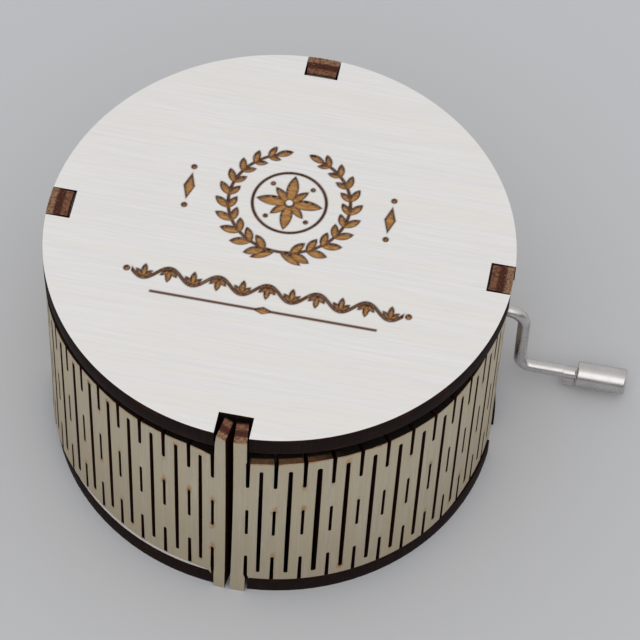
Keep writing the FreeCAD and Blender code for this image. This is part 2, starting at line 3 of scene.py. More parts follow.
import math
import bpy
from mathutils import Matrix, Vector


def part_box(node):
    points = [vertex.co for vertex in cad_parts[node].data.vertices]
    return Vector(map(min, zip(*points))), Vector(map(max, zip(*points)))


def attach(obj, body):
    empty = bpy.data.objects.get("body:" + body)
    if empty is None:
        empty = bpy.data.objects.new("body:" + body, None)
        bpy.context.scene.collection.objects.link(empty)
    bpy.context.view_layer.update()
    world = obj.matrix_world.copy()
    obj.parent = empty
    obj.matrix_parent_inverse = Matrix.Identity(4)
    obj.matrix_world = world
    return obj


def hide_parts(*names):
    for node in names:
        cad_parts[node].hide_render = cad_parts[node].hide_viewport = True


bl_info = {
    "name": "Disc music box",
    "version": (1, 0, 0),
    "blender": (4, 5, 0),
    "location": "3D View > Sidebar > Music Box",
    "description": "Builds the visible pieces of a laser-cut music box and their finishes",
    "category": "Mesh",
}

from types import SimpleNamespace

import bpy
import numpy as np
from bpy.props import FloatProperty, FloatVectorProperty, IntProperty, PointerProperty
from mathutils import Matrix, Vector

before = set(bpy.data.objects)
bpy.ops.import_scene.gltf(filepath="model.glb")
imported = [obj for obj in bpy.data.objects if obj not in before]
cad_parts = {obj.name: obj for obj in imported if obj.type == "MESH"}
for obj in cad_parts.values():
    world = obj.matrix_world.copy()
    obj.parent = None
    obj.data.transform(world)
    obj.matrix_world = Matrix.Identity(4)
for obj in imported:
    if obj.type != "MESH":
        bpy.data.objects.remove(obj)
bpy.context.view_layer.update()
MM = 0.001


# ---- sizes and colours that a user would change ----


def size(name, description, millimetres):
    return FloatProperty(name=name, description=description, default=millimetres * MM,
                         unit="LENGTH", subtype="DISTANCE", precision=5)


def turn(name, description, degrees):
    return FloatProperty(name=name, description=description, default=math.radians(degrees),
                         unit="ROTATION", subtype="ANGLE")


def tone(red, green, blue):
    """Display values from 0 to 255 as scene-linear ones."""
    share = np.array([red, green, blue]) / 255
    linear = np.where(share <= 0.04045, share / 12.92, ((share + 0.055) / 1.055) ** 2.4)
    return tuple(float(value) for value in linear)


def colour(name, description, red, green, blue):
    return FloatVectorProperty(name=name, description=description, subtype="COLOR",
                               default=tone(red, green, blue), min=0.0, max=1.0)


def middle(node, axis):
    low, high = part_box(node)
    return (low[axis] + high[axis]) / 2 / MM


class MusicBoxSizes(bpy.types.PropertyGroup):
    disc_radius: size("Disc radius", "Radius of the lid and of the bent wall", 40.0)
    base_inset: size("Base inset", "How much smaller the base disc's radius is", 0.45)
    ply: size("Ply", "Thickness of the discs and of the wall", 4.0)
    wall_height: size("Wall height", "Wall between the discs", 41.5)
    notch_width: size("Notch width", "Width of a notch in a disc's rim", 5.84)
    notch_depth: size("Notch depth", "Depth of a notch in a disc's rim", 4.24)
    tab_width: size("Tab width", "Width of the wall's tabs", 5.6)
    cut_edge: size("Cut edge", "Rounding of the burnt edges", 0.07)
    carve_depth: size("Carving depth", "Depth of the ornament on the lid", 0.3)
    carve_cell: size("Carving cell", "Spacing of the carved surface's grid", 0.17)
    hinge_pitches: IntProperty(
        name="Hinge pitches", description="Long slits in the wall, plus one", default=52, min=8)
    seam_gap: size("Seam gap", "Gap between the ends of the bent strip", 1.1)
    long_slit: size("Long slit", "Width of the long slits", 0.7)
    short_slit: size("Short slit", "Width of the short slits", 0.54)
    long_land: size("Long slit land", "Wood above and below a long slit", 3.85)
    edge_slit: size("Edge slit", "Length of a short slit that is open at the edge", 9.25)
    middle_slit: size("Middle slit", "Length of the short slit at mid height", 8.2)
    slit_drop: size("Slit drop", "How far the slits sit below mid height", 0.9)
    head_gap: size("Head gap", "Gap between the lid and the wall's shoulders at the front", 2.2)
    left_drop: size("Left drop", "How much larger that gap is left of the seam", 0.75)
    foot_gap: size("Foot gap", "Gap under the wall on the right of the seam", 0.65)
    lean: size("Lean", "How much further out the right part's head is than its foot", 0.5)
    spring: size("Spring", "How far the right end springs out at its head", 0.77)
    spring_turn: turn("Spring turn", "Turn over which the right end springs out", 32.0)
    inset: size("Inset", "How far the left part sits inside the rim", 0.85)
    inset_turn: turn("Inset turn", "How far round the left part stays inside", 36.0)
    inset_fade: turn("Inset fade", "Turn over which the inset fades out", 30.0)
    flare: size("Flare", "How far the left end springs out at its head", 1.43)
    flare_turn: turn("Flare turn", "Turn over which the left end springs out", 13.0)
    side_inset: size("Side inset", "How far the right side's head sits inside the rim", 0.5)
    foot_inset: size("Foot inset", "How much further inside its foot is there", 0.4)
    waist: size("Waist", "How far the left side is drawn in at mid height", 0.2)
    sway: size("Sway", "How far the seam leans to the right on its way up", 0.65)
    bevel: size("Bevel", "How much narrower the front tab's left half is at its head", 0.4)
    hole_radius: size("Crank hole", "Radius of the hole for the crank", 3.025)
    wire_radius: size("Wire radius", "Radius of the crank's wire", 1.15)
    screwed_radius: size("Screwed radius", "Radius of the wire's screwed end", 0.95)
    screwed_length: size("Screwed length", "Length of the wire's screwed end", 3.8)
    arm_place: size("Arm place", "Distance of the crank's arm from the box's middle", 41.95)
    upper_bend: size("Upper bend", "Radius of the bend beside the box", 3.2)
    lower_bend: size("Lower bend", "Radius of the bend beside the grip", 2.2)
    ear_reach: size("Ear reach", "How far the pinched ears reach from the wire's middle", 2.45)
    ear_length: size("Ear length", "Length of the pinched ears", 2.35)
    rivet_radius: size("Rivet radius", "Radius of the riveted end of the wire", 1.5)
    rivet_length: size("Rivet length", "Thickness of the riveted end", 0.8)
    knob_chamfer: size("Knob chamfer", "Chamfer at the knob's ends", 0.18)
    knob_overlap: size("Knob overlap", "How far the knob reaches over the pinched ears", 0.25)
    knob_recess: size("Knob recess", "Depth of the recess round the rivet", 1.1)
    screw_radius: size("Screw radius", "Radius of the mounting screws", 1.25)
    head_radius: size("Screw head", "Radius of the mounting screws' heads", 2.35)
    thread_pitch: size("Thread pitch", "Pitch of the mounting screws", 0.45)


class MusicBoxColours(bpy.types.PropertyGroup):
    lid: colour("Lid", "Pale face of the discs", 237, 235, 234)
    # Darker than the lid's pale face, though both are the same basswood: painted shade of the
    # upright wall.
    wall: colour("Wall", "Face of the wall", 193, 182, 161)
    tan: colour("Tan", "Floor of the carving and scorched wood", 190, 140, 85)
    scorch: colour("Scorch", "Edges of the carving", 88, 50, 28)
    char: colour("Char", "Burnt cut edges", 17, 11, 10)
    cream: colour("Cream", "Outer ply at a tab's end", 156, 118, 92)
    rose: colour("Rose", "Inner ply at a tab's end", 140, 96, 72)
    core: colour("Core", "Middle ply at a tab's end", 90, 45, 31)
    nickel: colour("Nickel", "Crank and knob", 207, 204, 203)
    steel: colour("Steel", "Sheet, screws and pins", 178, 178, 178)
    spring_steel: colour("Spring steel", "Comb", 150, 152, 156)
    zinc: colour("Zinc", "Cast base", 150, 150, 150)
    brass: colour("Brass", "Cylinder and worm", 196, 158, 88)
    lead: colour("Lead", "Weights under the comb", 96, 97, 102)
    nylon: colour("Nylon", "End caps, bushes and worm wheel", 226, 223, 212)
    floor: colour("Floor", "Floor under the box", 203, 204, 207)


def own_properties(group):
    return [prop for prop in group.bl_rna.properties if prop.identifier not in ("rna_type", "name")]


def plain(*groups):
    """The groups' values in one: lengths in millimetres, turns in degrees, colours as tuples."""
    values = {}
    for group in groups:
        for prop in own_properties(group):
            value = getattr(group, prop.identifier)
            if prop.subtype == "COLOR":
                value = tuple(value)
            elif prop.unit == "LENGTH":
                value = value / MM
            elif prop.unit == "ROTATION":
                value = math.degrees(value)
            values[prop.identifier] = value
    return SimpleNamespace(**values)


# ---- finishes ----

# How long the grain's streaks are on X, Y and Z, in millimetres.
LID_GRAIN = (14.0, 0.35, 0.35)
WALL_GRAIN = (0.4, 0.4, 12.0)
# Where the base disc's darker right half starts on X, and the heights over which painted shade
# darkens the wall towards its foot.
DARK_FROM = (-4.2 * MM, -3.6 * MM)
FOOT_SHADE_HEIGHTS = (4.0 * MM, 36.0 * MM)
# Where one ply gives way to the next, as shares of the strip's thickness; and the glue lines, as
# the middle between them and their distance from it.
OUTER_TO_CORE, CORE_TO_INNER = (0.26, 0.36), (0.56, 0.66)
GLUE_MIDDLE, GLUE_REACH = 0.46, 0.16


class Nodes:
    """Short ways to add shader nodes to a tree."""

    def __init__(self, tree):
        self.tree = tree

    def put(self, socket, value):
        """Links a socket, or sets its own number or colour."""
        if isinstance(value, bpy.types.NodeSocket):
            self.tree.links.new(value, socket)
        elif socket.type == "RGBA":
            socket.default_value = (*value, 1.0)
        else:
            socket.default_value = value

    def set(self, node, **sockets):
        for name, value in sockets.items():
            self.put(node.inputs[name.replace("_", " ")], value)

    def node(self, kind, **sockets):
        made = self.tree.nodes.new("ShaderNode" + kind)
        self.set(made, **sockets)
        return made

    def fed(self, kind, inputs, output=0, **settings):
        """An output of a node whose inputs are given as pairs of a number and a value."""
        made = self.node(kind)
        for name, value in settings.items():
            setattr(made, name, value)
        for number, value in inputs:
            self.put(made.inputs[number], value)
        return made.outputs[output]

    def maths(self, operation, *values, **settings):
        return self.fed("Math", enumerate(values), operation=operation, **settings)

    def gap(self, value, other):
        """How far apart two numbers are."""
        return self.maths("ABSOLUTE", self.maths("SUBTRACT", value, other))

    def ramp(self, value, low, high, start=0.0, end=1.0):
        """A smooth step from start to end as the value goes from low to high."""
        inputs = enumerate((value, low, high, start, end))
        return self.fed("MapRange", inputs, interpolation_type="SMOOTHSTEP")

    def mix(self, share, under, over):
        return self.fed("Mix", ((0, share), (6, under), (7, over)), 2, data_type="RGBA")

    def coat(self, under, over, value, low, high, start=0.0, end=1.0):
        """One colour over another, its share a ramp of the value."""
        return self.mix(self.ramp(value, low, high, start, end), under, over)


class Finish(Nodes):
    """A material with a Principled shader, and what the surface tells it."""

    def __init__(self, name, **sockets):
        self.material = bpy.data.materials.new(name)
        self.material.use_nodes = True
        super().__init__(self.material.node_tree)
        self.shader = self.tree.nodes["Principled BSDF"]
        self.set(self.shader, **sockets)
        self.place = self.node("TexCoord").outputs["Object"]

    def noise(self, spot, detail=3.0, roughness=0.55):
        """Noise from 0 to 1 whose spots are this many millimetres long, on all axes or on each."""
        scale = tuple(1 / (np.ones(3) * spot) / MM)
        place = self.node("Mapping", Vector=self.place, Scale=scale).outputs[0]
        noise = self.node("TexNoise", Vector=place, Scale=1.0, Detail=detail, Roughness=roughness)
        return noise.outputs["Fac"]

    def along(self, axis):
        """A coordinate of the place on the piece, in metres."""
        return self.node("SeparateXYZ", Vector=self.place).outputs[axis]

    def level(self):
        """How level a face is, from 0 on a wall to 1 on a floor or ceiling."""
        normal = self.node("TexCoord").outputs["Normal"]
        return self.maths("ABSOLUTE", self.node("SeparateXYZ", Vector=normal).outputs["Z"])

    def carried(self, name):
        """A number that the mesh carries at its points."""
        made = self.node("Attribute")
        made.attribute_name = name
        return made.outputs["Fac"]

    def bump(self, height, depth, strength):
        made = self.node("Bump", Height=height, Distance=depth * MM, Strength=strength)
        self.set(self.shader, Normal=made.outputs[0])

    def colour(self, value):
        self.set(self.shader, Base_Color=value)
        return self.material


def shade(colour, *factors):
    """A colour times one factor, or times one for each channel."""
    return tuple(np.minimum(np.multiply(colour, factors), 1.0))


def bare_ply(finish, colour, grain, contrast=1.0):
    """Sanded basswood: faint long streaks along the grain, broad soft bands and dark flecks."""
    grain = np.array(grain)
    streaks = finish.noise(grain, 4.0, 0.6)
    bands = finish.noise(grain * np.where(grain < 1, 6, 3), 2.0)
    flecks = finish.noise(grain * 0.45, 1.0)
    dark, light = shade(colour, 1 - 0.05 * contrast), shade(colour, 1 + 0.03 * contrast)
    shown = finish.coat(dark, light, streaks, 0.3, 0.72)
    yellowed = shade(colour, 0.98, 0.96, 0.88)
    shown = finish.coat(shown, yellowed, bands, 0.35, 0.65, 0.0, 0.4 * contrast)
    shown = finish.coat(shown, shade(colour, 0.68, 0.58, 0.46), flecks, 0.66, 0.78, 0.0, 0.2)
    return shown, streaks


def charred(finish, box):
    """Wood burnt by the cut: near black, with brown streaks that run straight across the sheet."""
    streaks = finish.noise((0.3, 0.3, 9.0))
    patches = finish.noise((5.0, 5.0, 1.6), 2.0)
    shown = finish.coat(box.char, shade(box.char, 2.1), streaks, 0.42, 0.72)
    return finish.coat(shown, box.core, patches, 0.58, 0.78, 0.0, 0.25), streaks


def disc_ply(box, name, bottom, carved=False, painted_shade_radius=None):
    """Pale face with grain along X, and a charred edge whose three plies show faintly.

    With a painted shade radius, the disc's top carries painted shade inside it, where the box is
    dark within the wall, a little of it beyond, and is darker all over from the seam to the right.
    """
    finish = Finish(name, Roughness=0.75, Specular_IOR_Level=0.1)
    face, relief = bare_ply(finish, box.lid, LID_GRAIN)
    edge, _ = charred(finish, box)
    height = finish.along("Z")
    from_middle = finish.gap(height, (bottom + box.ply / 2) * MM)
    edge = finish.coat(edge, shade(box.core, 0.8), from_middle, 1.6 * MM, 1.98 * MM, 0.07, 0.4)
    if carved:
        floor = finish.carried("carved")
        mottle = finish.noise((1.4, 0.3, 1.0), 4.0)
        tan = finish.coat(shade(box.tan, 0.62), shade(box.tan, 1.12), mottle, 0.35, 0.7)
        face = finish.mix(floor, face, tan)
        face = finish.mix(finish.carried("burnt"), face, box.scorch)
        relief = finish.maths("ADD", relief, finish.maths("MULTIPLY", floor, mottle))
    if painted_shade_radius:
        plan = finish.fed("VectorMath", enumerate((finish.place, (1, 1, 0))), operation="MULTIPLY")
        radius = finish.fed("VectorMath", [(0, plan)], "Value", operation="LENGTH")
        # Painted shade on the top face inside the wall's foot, where the box is dark within, and a
        # little beyond it.
        inside = finish.ramp(radius, (painted_shade_radius - 0.15) * MM, (painted_shade_radius + 0.1) * MM, 1.0, 0.3)
        right = finish.ramp(finish.along("X"), *DARK_FROM)
        on_top = finish.ramp(height, (bottom + 3.0) * MM, (bottom + 3.5) * MM)
        shade_and_dark_top = finish.maths("MULTIPLY", finish.maths("MAXIMUM", inside, right), on_top)
        # The char colour paints this shade, and the darker right half, onto the disc's top.
        face = finish.mix(shade_and_dark_top, face, box.char)
    finish.bump(relief, 0.03, 0.6)
    return finish.colour(finish.coat(face, edge, finish.level(), 0.25, 0.75, 1.0, 0.0))


def wall_face_ply(box):
    """The wall's outside and inside: grain up and down, painted shade that darkens it towards the
    foot, amber spots where a slit ends."""
    finish = Finish("wall_face_ply", Roughness=0.66, Specular_IOR_Level=0.25)
    shown, grain = bare_ply(finish, box.wall, WALL_GRAIN, 2.2)
    # Painted shade: the wall darkens towards its foot, up to a fifth of the way to a dark tan at
    # the foot.
    dull = shade(box.tan, 0.25)
    shown = finish.coat(shown, dull, finish.along("Z"), *FOOT_SHADE_HEIGHTS, 0.2, 0.0)
    fray = finish.ramp(finish.noise(0.9, 1.0), 0.3, 0.6, 0.6, 1.15)
    spot = finish.maths("MULTIPLY", finish.carried("amber"), fray, use_clamp=True)
    shown = finish.coat(shown, shade(box.tan, 0.8), spot, 0.12, 0.7, 0.0, 0.8)
    shown = finish.coat(shown, box.scorch, spot, 0.7, 1.0, 0.0, 0.8)
    finish.bump(grain, 0.03, 0.6)
    return finish.colour(shown)


def wall_cut_ply(box):
    """The wall's cut edges: char in the slits, darkened further by painted shade, and three plies
    with glue lines between them where the mesh says that they show. From tab's end to shoulder,
    less of the depth stays unburnt."""
    finish = Finish("wall_cut_ply", Roughness=0.6, Specular_IOR_Level=0.15)
    edge, streaks = charred(finish, box)
    # Painted shade over the char: the cut faces are darkened further so the narrow slits read
    # darker.
    edge = finish.mix(0.45, edge, shade(box.char, 0.3))
    edge = finish.coat(edge, shade(box.core, 0.75), finish.level(), 0.2, 0.6, 0.4, 0.0)
    depth, bare = finish.carried("ply_depth"), finish.carried("bare")
    fine = finish.noise(0.22)
    outer, core, inner = (
        finish.coat(shade(ply, dark), shade(ply, light), fine, 0.3, 0.7) for ply, dark, light in
        ((box.cream, 0.75, 1.2), (box.core, 0.4, 0.95), (box.rose, 0.7, 1.15)))
    inner = finish.coat(inner, box.core, finish.noise(0.9, 2.0), 0.45, 0.7, 0.0, 0.7)
    layers = finish.coat(outer, core, depth, *OUTER_TO_CORE)
    layers = finish.coat(layers, inner, depth, *CORE_TO_INNER)
    burnt_from = finish.ramp(bare, 0.6, 1.0, 0.24, 0.9)
    burnt = finish.ramp(finish.maths("SUBTRACT", depth, burnt_from), 0.0, 0.06)
    layers = finish.mix(burnt, layers, box.char)
    glue = finish.gap(finish.gap(depth, GLUE_MIDDLE), GLUE_REACH)
    layers = finish.coat(layers, box.char, glue, 0.0, 0.03, 0.6, 0.0)
    soot, specks = finish.noise(0.5, 4.0, 0.7), finish.noise(0.16, 1.0)
    layers = finish.coat(layers, shade(box.core, 0.4), soot, 0.4, 0.64, 0.0, 0.8)
    layers = finish.coat(layers, shade(box.cream, 1.1), specks, 0.62, 0.74, 0.0, 0.6)
    layers = finish.coat(layers, shade(box.tan, 0.6), bare, 0.6, 1.0, 0.5, 0.0)
    layers = finish.mix(burnt, layers, box.char)
    shows = finish.maths("MULTIPLY", finish.ramp(finish.level(), 0.4, 0.8), bare)
    finish.bump(streaks, 0.04, 0.7)
    return finish.colour(finish.mix(shows, edge, layers))


def metal(name, colour, roughness, scratch, brushed=0.15, tint=0.06, depth=0.01, mark=0.25):
    """Bare or plated metal: brushed or turned lines, and patches that are a little duller."""
    finish = Finish(name, Metallic=1.0)
    lines, cloud = finish.noise(brushed), finish.noise(3.0)
    shown = finish.coat(shade(colour, 1 - tint), shade(colour, 1 + tint / 2), cloud, 0.3, 0.7)
    shown = finish.coat(shown, shade(colour, 0.7), lines, 0.6, 0.8, 0.0, mark)
    dull = finish.maths("ADD", finish.ramp(lines, 0.3, 0.7, roughness, roughness + scratch),
                        finish.ramp(cloud, 0.45, 0.75, 0.0, scratch))
    finish.set(finish.shader, Roughness=dull)
    finish.bump(lines, depth, 0.5)
    return finish.colour(shown)


def moulded(name, colour):
    """Natural nylon: slightly waxy, with soft clouding and fine tool marks."""
    finish = Finish(name, Roughness=0.42, Specular_IOR_Level=0.45, Subsurface_Weight=0.08)
    cloud, marks = finish.noise(2.5), finish.noise(0.2, 2.0)
    shown = finish.coat(shade(colour, 0.92), shade(colour, 1.03), cloud, 0.3, 0.7)
    shown = finish.coat(shown, shade(colour, 0.8), marks, 0.62, 0.8, 0.0, 0.2)
    finish.bump(marks, 0.01, 0.4)
    return finish.colour(shown)


MADE = {}


def movement_finishes(box):
    """The finishes of the crank, the screws and the movement, made once. All but the two nickel
    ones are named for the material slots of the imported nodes."""
    if not MADE:
        for name, colour, roughness, scratch, rest in (
                ("wire_nickel", "nickel", 0.23, 0.08,
                 dict(brushed=(2.0, 0.2, 2.0), depth=0.005, mark=0.1)),
                ("knob_nickel", "nickel", 0.25, 0.06,
                 dict(brushed=(0.12, 4.0, 4.0), depth=0.003, mark=0.08)),
                ("steel", "steel", 0.3, 0.12, dict(brushed=(0.2, 2.5, 2.5))),
                ("comb_steel", "spring_steel", 0.26, 0.1, dict(brushed=(4.0, 0.12, 4.0))),
                ("cast_zinc", "zinc", 0.46, 0.14, dict(tint=0.14, depth=0.04)),
                ("brass", "brass", 0.27, 0.1, dict(brushed=(3.0, 0.15, 3.0))),
                ("lead", "lead", 0.55, 0.15, dict(tint=0.2, depth=0.05))):
            MADE[name] = metal(name, getattr(box, colour), roughness, scratch, **rest)
        MADE["nylon"] = moulded("nylon", box.nylon)
    return MADE


# ---- shapes ----


def circle(columns):
    return np.linspace(0, 2 * np.pi, columns, endpoint=False)


def unit(value):
    return np.clip(value, 0, 1)


def bell(value, width):
    return np.exp(-(value / width) ** 2)


def ease(value, start, width):
    """A smooth step up from 0 to 1: s * s * (3 - 2 s), with s = (value - start) / width."""
    share = unit((value - start) / width)
    return share * share * (3 - 2 * share)


def fade(value, start, width):
    return 1 - ease(value, start, width)


def ring_faces(loops):
    """Quads between neighbouring closed rows of point numbers."""
    near, far = loops[:-1], loops[1:]
    return np.stack([near, far, np.roll(far, -1, 1), np.roll(near, -1, 1)], -1).reshape(-1, 4)


def loft(rows, closed=False):
    """Rows of points carried along a path: point (row, column) is rows[row, column].

    A closed loft joins its last row to its first; an open one gets a fan on each end.
    """
    count, around = rows.shape[:2]
    points = rows.reshape(-1, 3)
    loops = np.arange(len(points)).reshape(count, around)
    if closed:
        return points, [ring_faces(np.vstack([loops, loops[:1]]))]
    head, tail = loops[0], loops[-1]
    fan = np.stack([np.full(around, len(points)), head, np.roll(head, -1)], -1)
    back = np.stack([np.full(around, len(points) + 1), np.roll(tail, -1), tail], -1)
    return np.vstack([points, rows[0].mean(0), rows[-1].mean(0)]), [ring_faces(loops), fan, back]


def turned(along, radius, origin=(0, 0, 0), columns=96, closed=False):
    """A profile turned about an axis along X: (along, radius cos a, -radius sin a) from the origin.
    The radius is one number for each row, or one for each point of it."""
    along = np.asarray(along)[:, None]
    radius, angle = np.reshape(radius, (len(along), -1)), circle(columns)
    y, z = radius * np.cos(angle), -radius * np.sin(angle)
    return loft(np.stack(np.broadcast_arrays(along, y, z), -1) + np.asarray(origin), closed)


def stood(shape, place):
    """Turns a shape that runs along X so that it runs up Z, and moves its foot to a place."""
    points, faces = shape
    return points[:, ::-1] * (-1, 1, 1) + (*place[:2], 0.0), faces


def joined(shapes):
    """Several shapes as one set of points and faces."""
    points, faces, start = [], [], 0
    for shape_points, shape_faces in shapes:
        points.append(shape_points)
        faces += [part + start for part in shape_faces]
        start += len(shape_points)
    return np.vstack(points), faces


def new_mesh(name, points, faces, values=None, kinds=None):
    """Puts points in millimetres and lists of quads and triangles into a mesh."""
    used, places = np.unique(np.concatenate([part.ravel() for part in faces]), return_inverse=True)
    corners = np.concatenate([np.full(len(part), part.shape[1]) for part in faces])
    mesh = bpy.data.meshes.new(name)
    mesh.vertices.add(len(used))
    mesh.vertices.foreach_set("co", (points[used] * MM).astype(np.float32).ravel())
    mesh.loops.add(len(places))
    mesh.loops.foreach_set("vertex_index", places.astype(np.int32))
    mesh.polygons.add(len(corners))
    mesh.polygons.foreach_set("loop_start", (np.cumsum(corners) - corners).astype(np.int32))
    if kinds is not None:
        mesh.polygons.foreach_set("material_index", kinds.astype(np.int32))
    for label, value in (values or {}).items():
        carried = mesh.attributes.new(label, "FLOAT", "POINT").data
        carried.foreach_set("value", value[used].astype(np.float32))
    mesh.update(calc_edges=True)
    mesh.validate()
    return mesh


def new_object(name, data):
    made = bpy.data.objects.new(name, data)
    bpy.context.scene.collection.objects.link(made)
    return made


def new_piece(name, shape, body, replaced, finishes, sharp=30.0):
    """An object at the origin that rides on a body and stands for CAD nodes."""
    mesh = new_mesh(name, *shape)
    piece = new_object(name, mesh)
    for finish in finishes:
        mesh.materials.append(finish)
    mesh.polygons.foreach_set("use_smooth", np.ones(len(mesh.polygons), bool))
    mesh.set_sharp_from_angle(angle=math.radians(sharp))
    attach(piece, body)
    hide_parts(*replaced)
    return piece


def cut_away(piece, shape, kind=0):
    """Takes a solid shape out of a piece and gives the cut faces one of its materials."""
    points, faces = shape
    kinds = np.full(sum(len(part) for part in faces), kind)
    tool = new_object("tool", new_mesh("tool", points, faces, kinds=kinds))
    for finish in piece.data.materials:
        tool.data.materials.append(finish)
    cut = piece.modifiers.new("cut", "BOOLEAN")
    cut.object, cut.operation, cut.solver = tool, "DIFFERENCE", "EXACT"
    graph = bpy.context.evaluated_depsgraph_get()
    result = bpy.data.meshes.new_from_object(piece.evaluated_get(graph))
    if len(result.polygons) == 0:
        raise RuntimeError("nothing is left of " + piece.name)
    piece.modifiers.clear()
    old, piece.data = piece.data, result
    name = old.name
    bpy.data.meshes.remove(old)
    result.name = name
    bpy.data.meshes.remove(tool.data)


# ---- discs ----


def disc_outline(box, disc_radius, corners, spans, notch_cells, side_cells):
    """The notched outline of a disc, one point for each cell round a rectangle's border.

    Each side of the rectangle faces one notch. Its cells go to an arc of the rim, the notch's
    side, the notch's back, its other side and the next arc. A point is the complex number x + iy
    in a frame that looks at the notch, times exp(i facing).
    """
    half, back = box.notch_width / 2, box.disc_radius - box.notch_depth
    lip = math.asin(half / disc_radius)
    rim = disc_radius * math.cos(lip)
    across = np.linspace(-half, half, 2 * notch_cells, endpoint=False)
    inward = np.linspace(rim, back, side_cells, endpoint=False)
    outward = np.linspace(back, rim, side_cells, endpoint=False)
    used = notch_cells + side_cells
    sides = []
    for side, (cells, centre) in enumerate(spans):
        facing = math.pi / 2 * (side - 1)
        start, end = ((corners[corner % 4] - facing + math.pi) % (2 * math.pi) - math.pi
                      for corner in (side, side + 1))
        opening = np.linspace(start, -lip, centre - used, endpoint=False)
        closing = np.linspace(lip, end, cells - centre - used, endpoint=False)
        run = [disc_radius * np.exp(1j * opening), inward - 1j * half, back + 1j * across,
               outward + 1j * half, disc_radius * np.exp(1j * closing)]
        sides.append(np.concatenate(run) * np.exp(1j * facing))
    outline = np.concatenate(sides)
    return np.stack([outline.real, outline.imag], -1)


def disc_shape(box, disc_radius, bottom, low, high, cell, carved=False):
    """A notched disc: a rectangle of grid cells on top, then closed rows that run from its border
    to the rim, round the cut edge, down the side, round the lower edge and in to the middle.

    Row points are border + share * (outline - border), with the outline moved inwards by its
    edge's rounding.
    """
    columns, rows = (int(round((high[axis] - low[axis]) / cell)) for axis in (0, 1))
    middle_x, middle_y = (int(round(-low[axis] / cell)) for axis in (0, 1))
    top = bottom + box.ply
    x, y = (plan.ravel() for plan in np.meshgrid(np.linspace(low[0], high[0], columns + 1),
                                                 np.linspace(low[1], high[1], rows + 1)))
    z, values = np.full(len(x), top), {}
    if carved:
        x, y, z, values = carve(box, x, y, top)
    patch = np.arange(len(x)).reshape(rows + 1, columns + 1)
    border = np.concatenate([patch[0, :-1], patch[:-1, -1], patch[-1, :0:-1], patch[:0:-1, 0]])
    corners = [math.atan2(corner_y, corner_x) for corner_x, corner_y in
               ((low[0], low[1]), (high[0], low[1]), (high[0], high[1]), (low[0], high[1]))]
    spans = [(columns, middle_x), (rows, middle_y),
             (columns, columns - middle_x), (rows, rows - middle_y)]
    notch_cells = int(math.ceil((box.notch_width / 2 + 0.1) / cell))
    outline = disc_outline(box, disc_radius, corners, spans, notch_cells, max(4, int(1.7 / cell)))
    along = np.roll(outline, -1, 0) - np.roll(outline, 1, 0)
    along /= np.linalg.norm(along, axis=1)[:, None]
    edge = box.cut_edge
    outward = edge * np.stack([along[:, 1], -along[:, 0]], -1)
    rounding = [(outline - inset * outward, drop * edge)
                for inset, drop in ((2.0, 0.0), (1.0, 0.0), (0.3, 0.3), (0.0, 1.0))]
    inner = np.stack([x[border], y[border]], -1)
    plans = [(inner + share * (rounding[1][0] - inner), top) for share in (0.3, 0.6, 0.85)]
    plans += [(plan, top - drop) for plan, drop in rounding]
    plans += [(plan, bottom + drop) for plan, drop in rounding[::-1]]
    plans += [(outline * share, bottom) for share in (0.8, 0.55, 0.3, 0.1)]
    sides = [np.insert(plan, 2, height, 1) for plan, height in plans]
    points = np.vstack([np.stack([x, y, z], -1), *sides, [0.0, 0.0, bottom]])
    hub = len(points) - 1
    loops = np.vstack([border, np.arange(len(x), hub).reshape(-1, len(border))])
    grid = np.stack([patch[:-1, :-1], patch[:-1, 1:], patch[1:, 1:], patch[1:, :-1]], -1)
    fan = np.stack([np.full(len(border), hub), np.roll(loops[-1], -1), loops[-1]], -1)
    values = {label: np.pad(value, (0, len(points) - len(x))) for label, value in values.items()}
    return points, [grid.reshape(-1, 4), ring_faces(loops), fan], values


def leaf(x, y, base, heading, length, width):
    """Distance to a leaf of two equal arcs: hypot(u, |v| + r - w) - r about its middle."""
    x, y, angle = x - base[0], y - base[1], math.radians(heading)
    u = x * math.cos(angle) + y * math.sin(angle) - length / 2
    v = y * math.cos(angle) - x * math.sin(angle)
    radius = ((length / 2) ** 2 + (width / 2) ** 2) / width
    return np.hypot(u, np.abs(v) + radius - width / 2) - radius


def dot(x, y, centre, radius):
    return np.hypot(x - centre[0], y - centre[1]) - radius


def lozenge(x, y, centre, half_x, half_y):
    """Distance to a diamond: (|x| / a + |y| / b - 1) scaled to millimetres."""
    scale = half_x * half_y / math.hypot(half_x, half_y)
    return (np.abs(x - centre[0]) / half_x + np.abs(y - centre[1]) / half_y - 1) * scale


def polar(radius, degrees):
    return radius * math.cos(math.radians(degrees)), radius * math.sin(math.radians(degrees))


def nearest(shapes):
    return np.minimum.reduce(shapes)


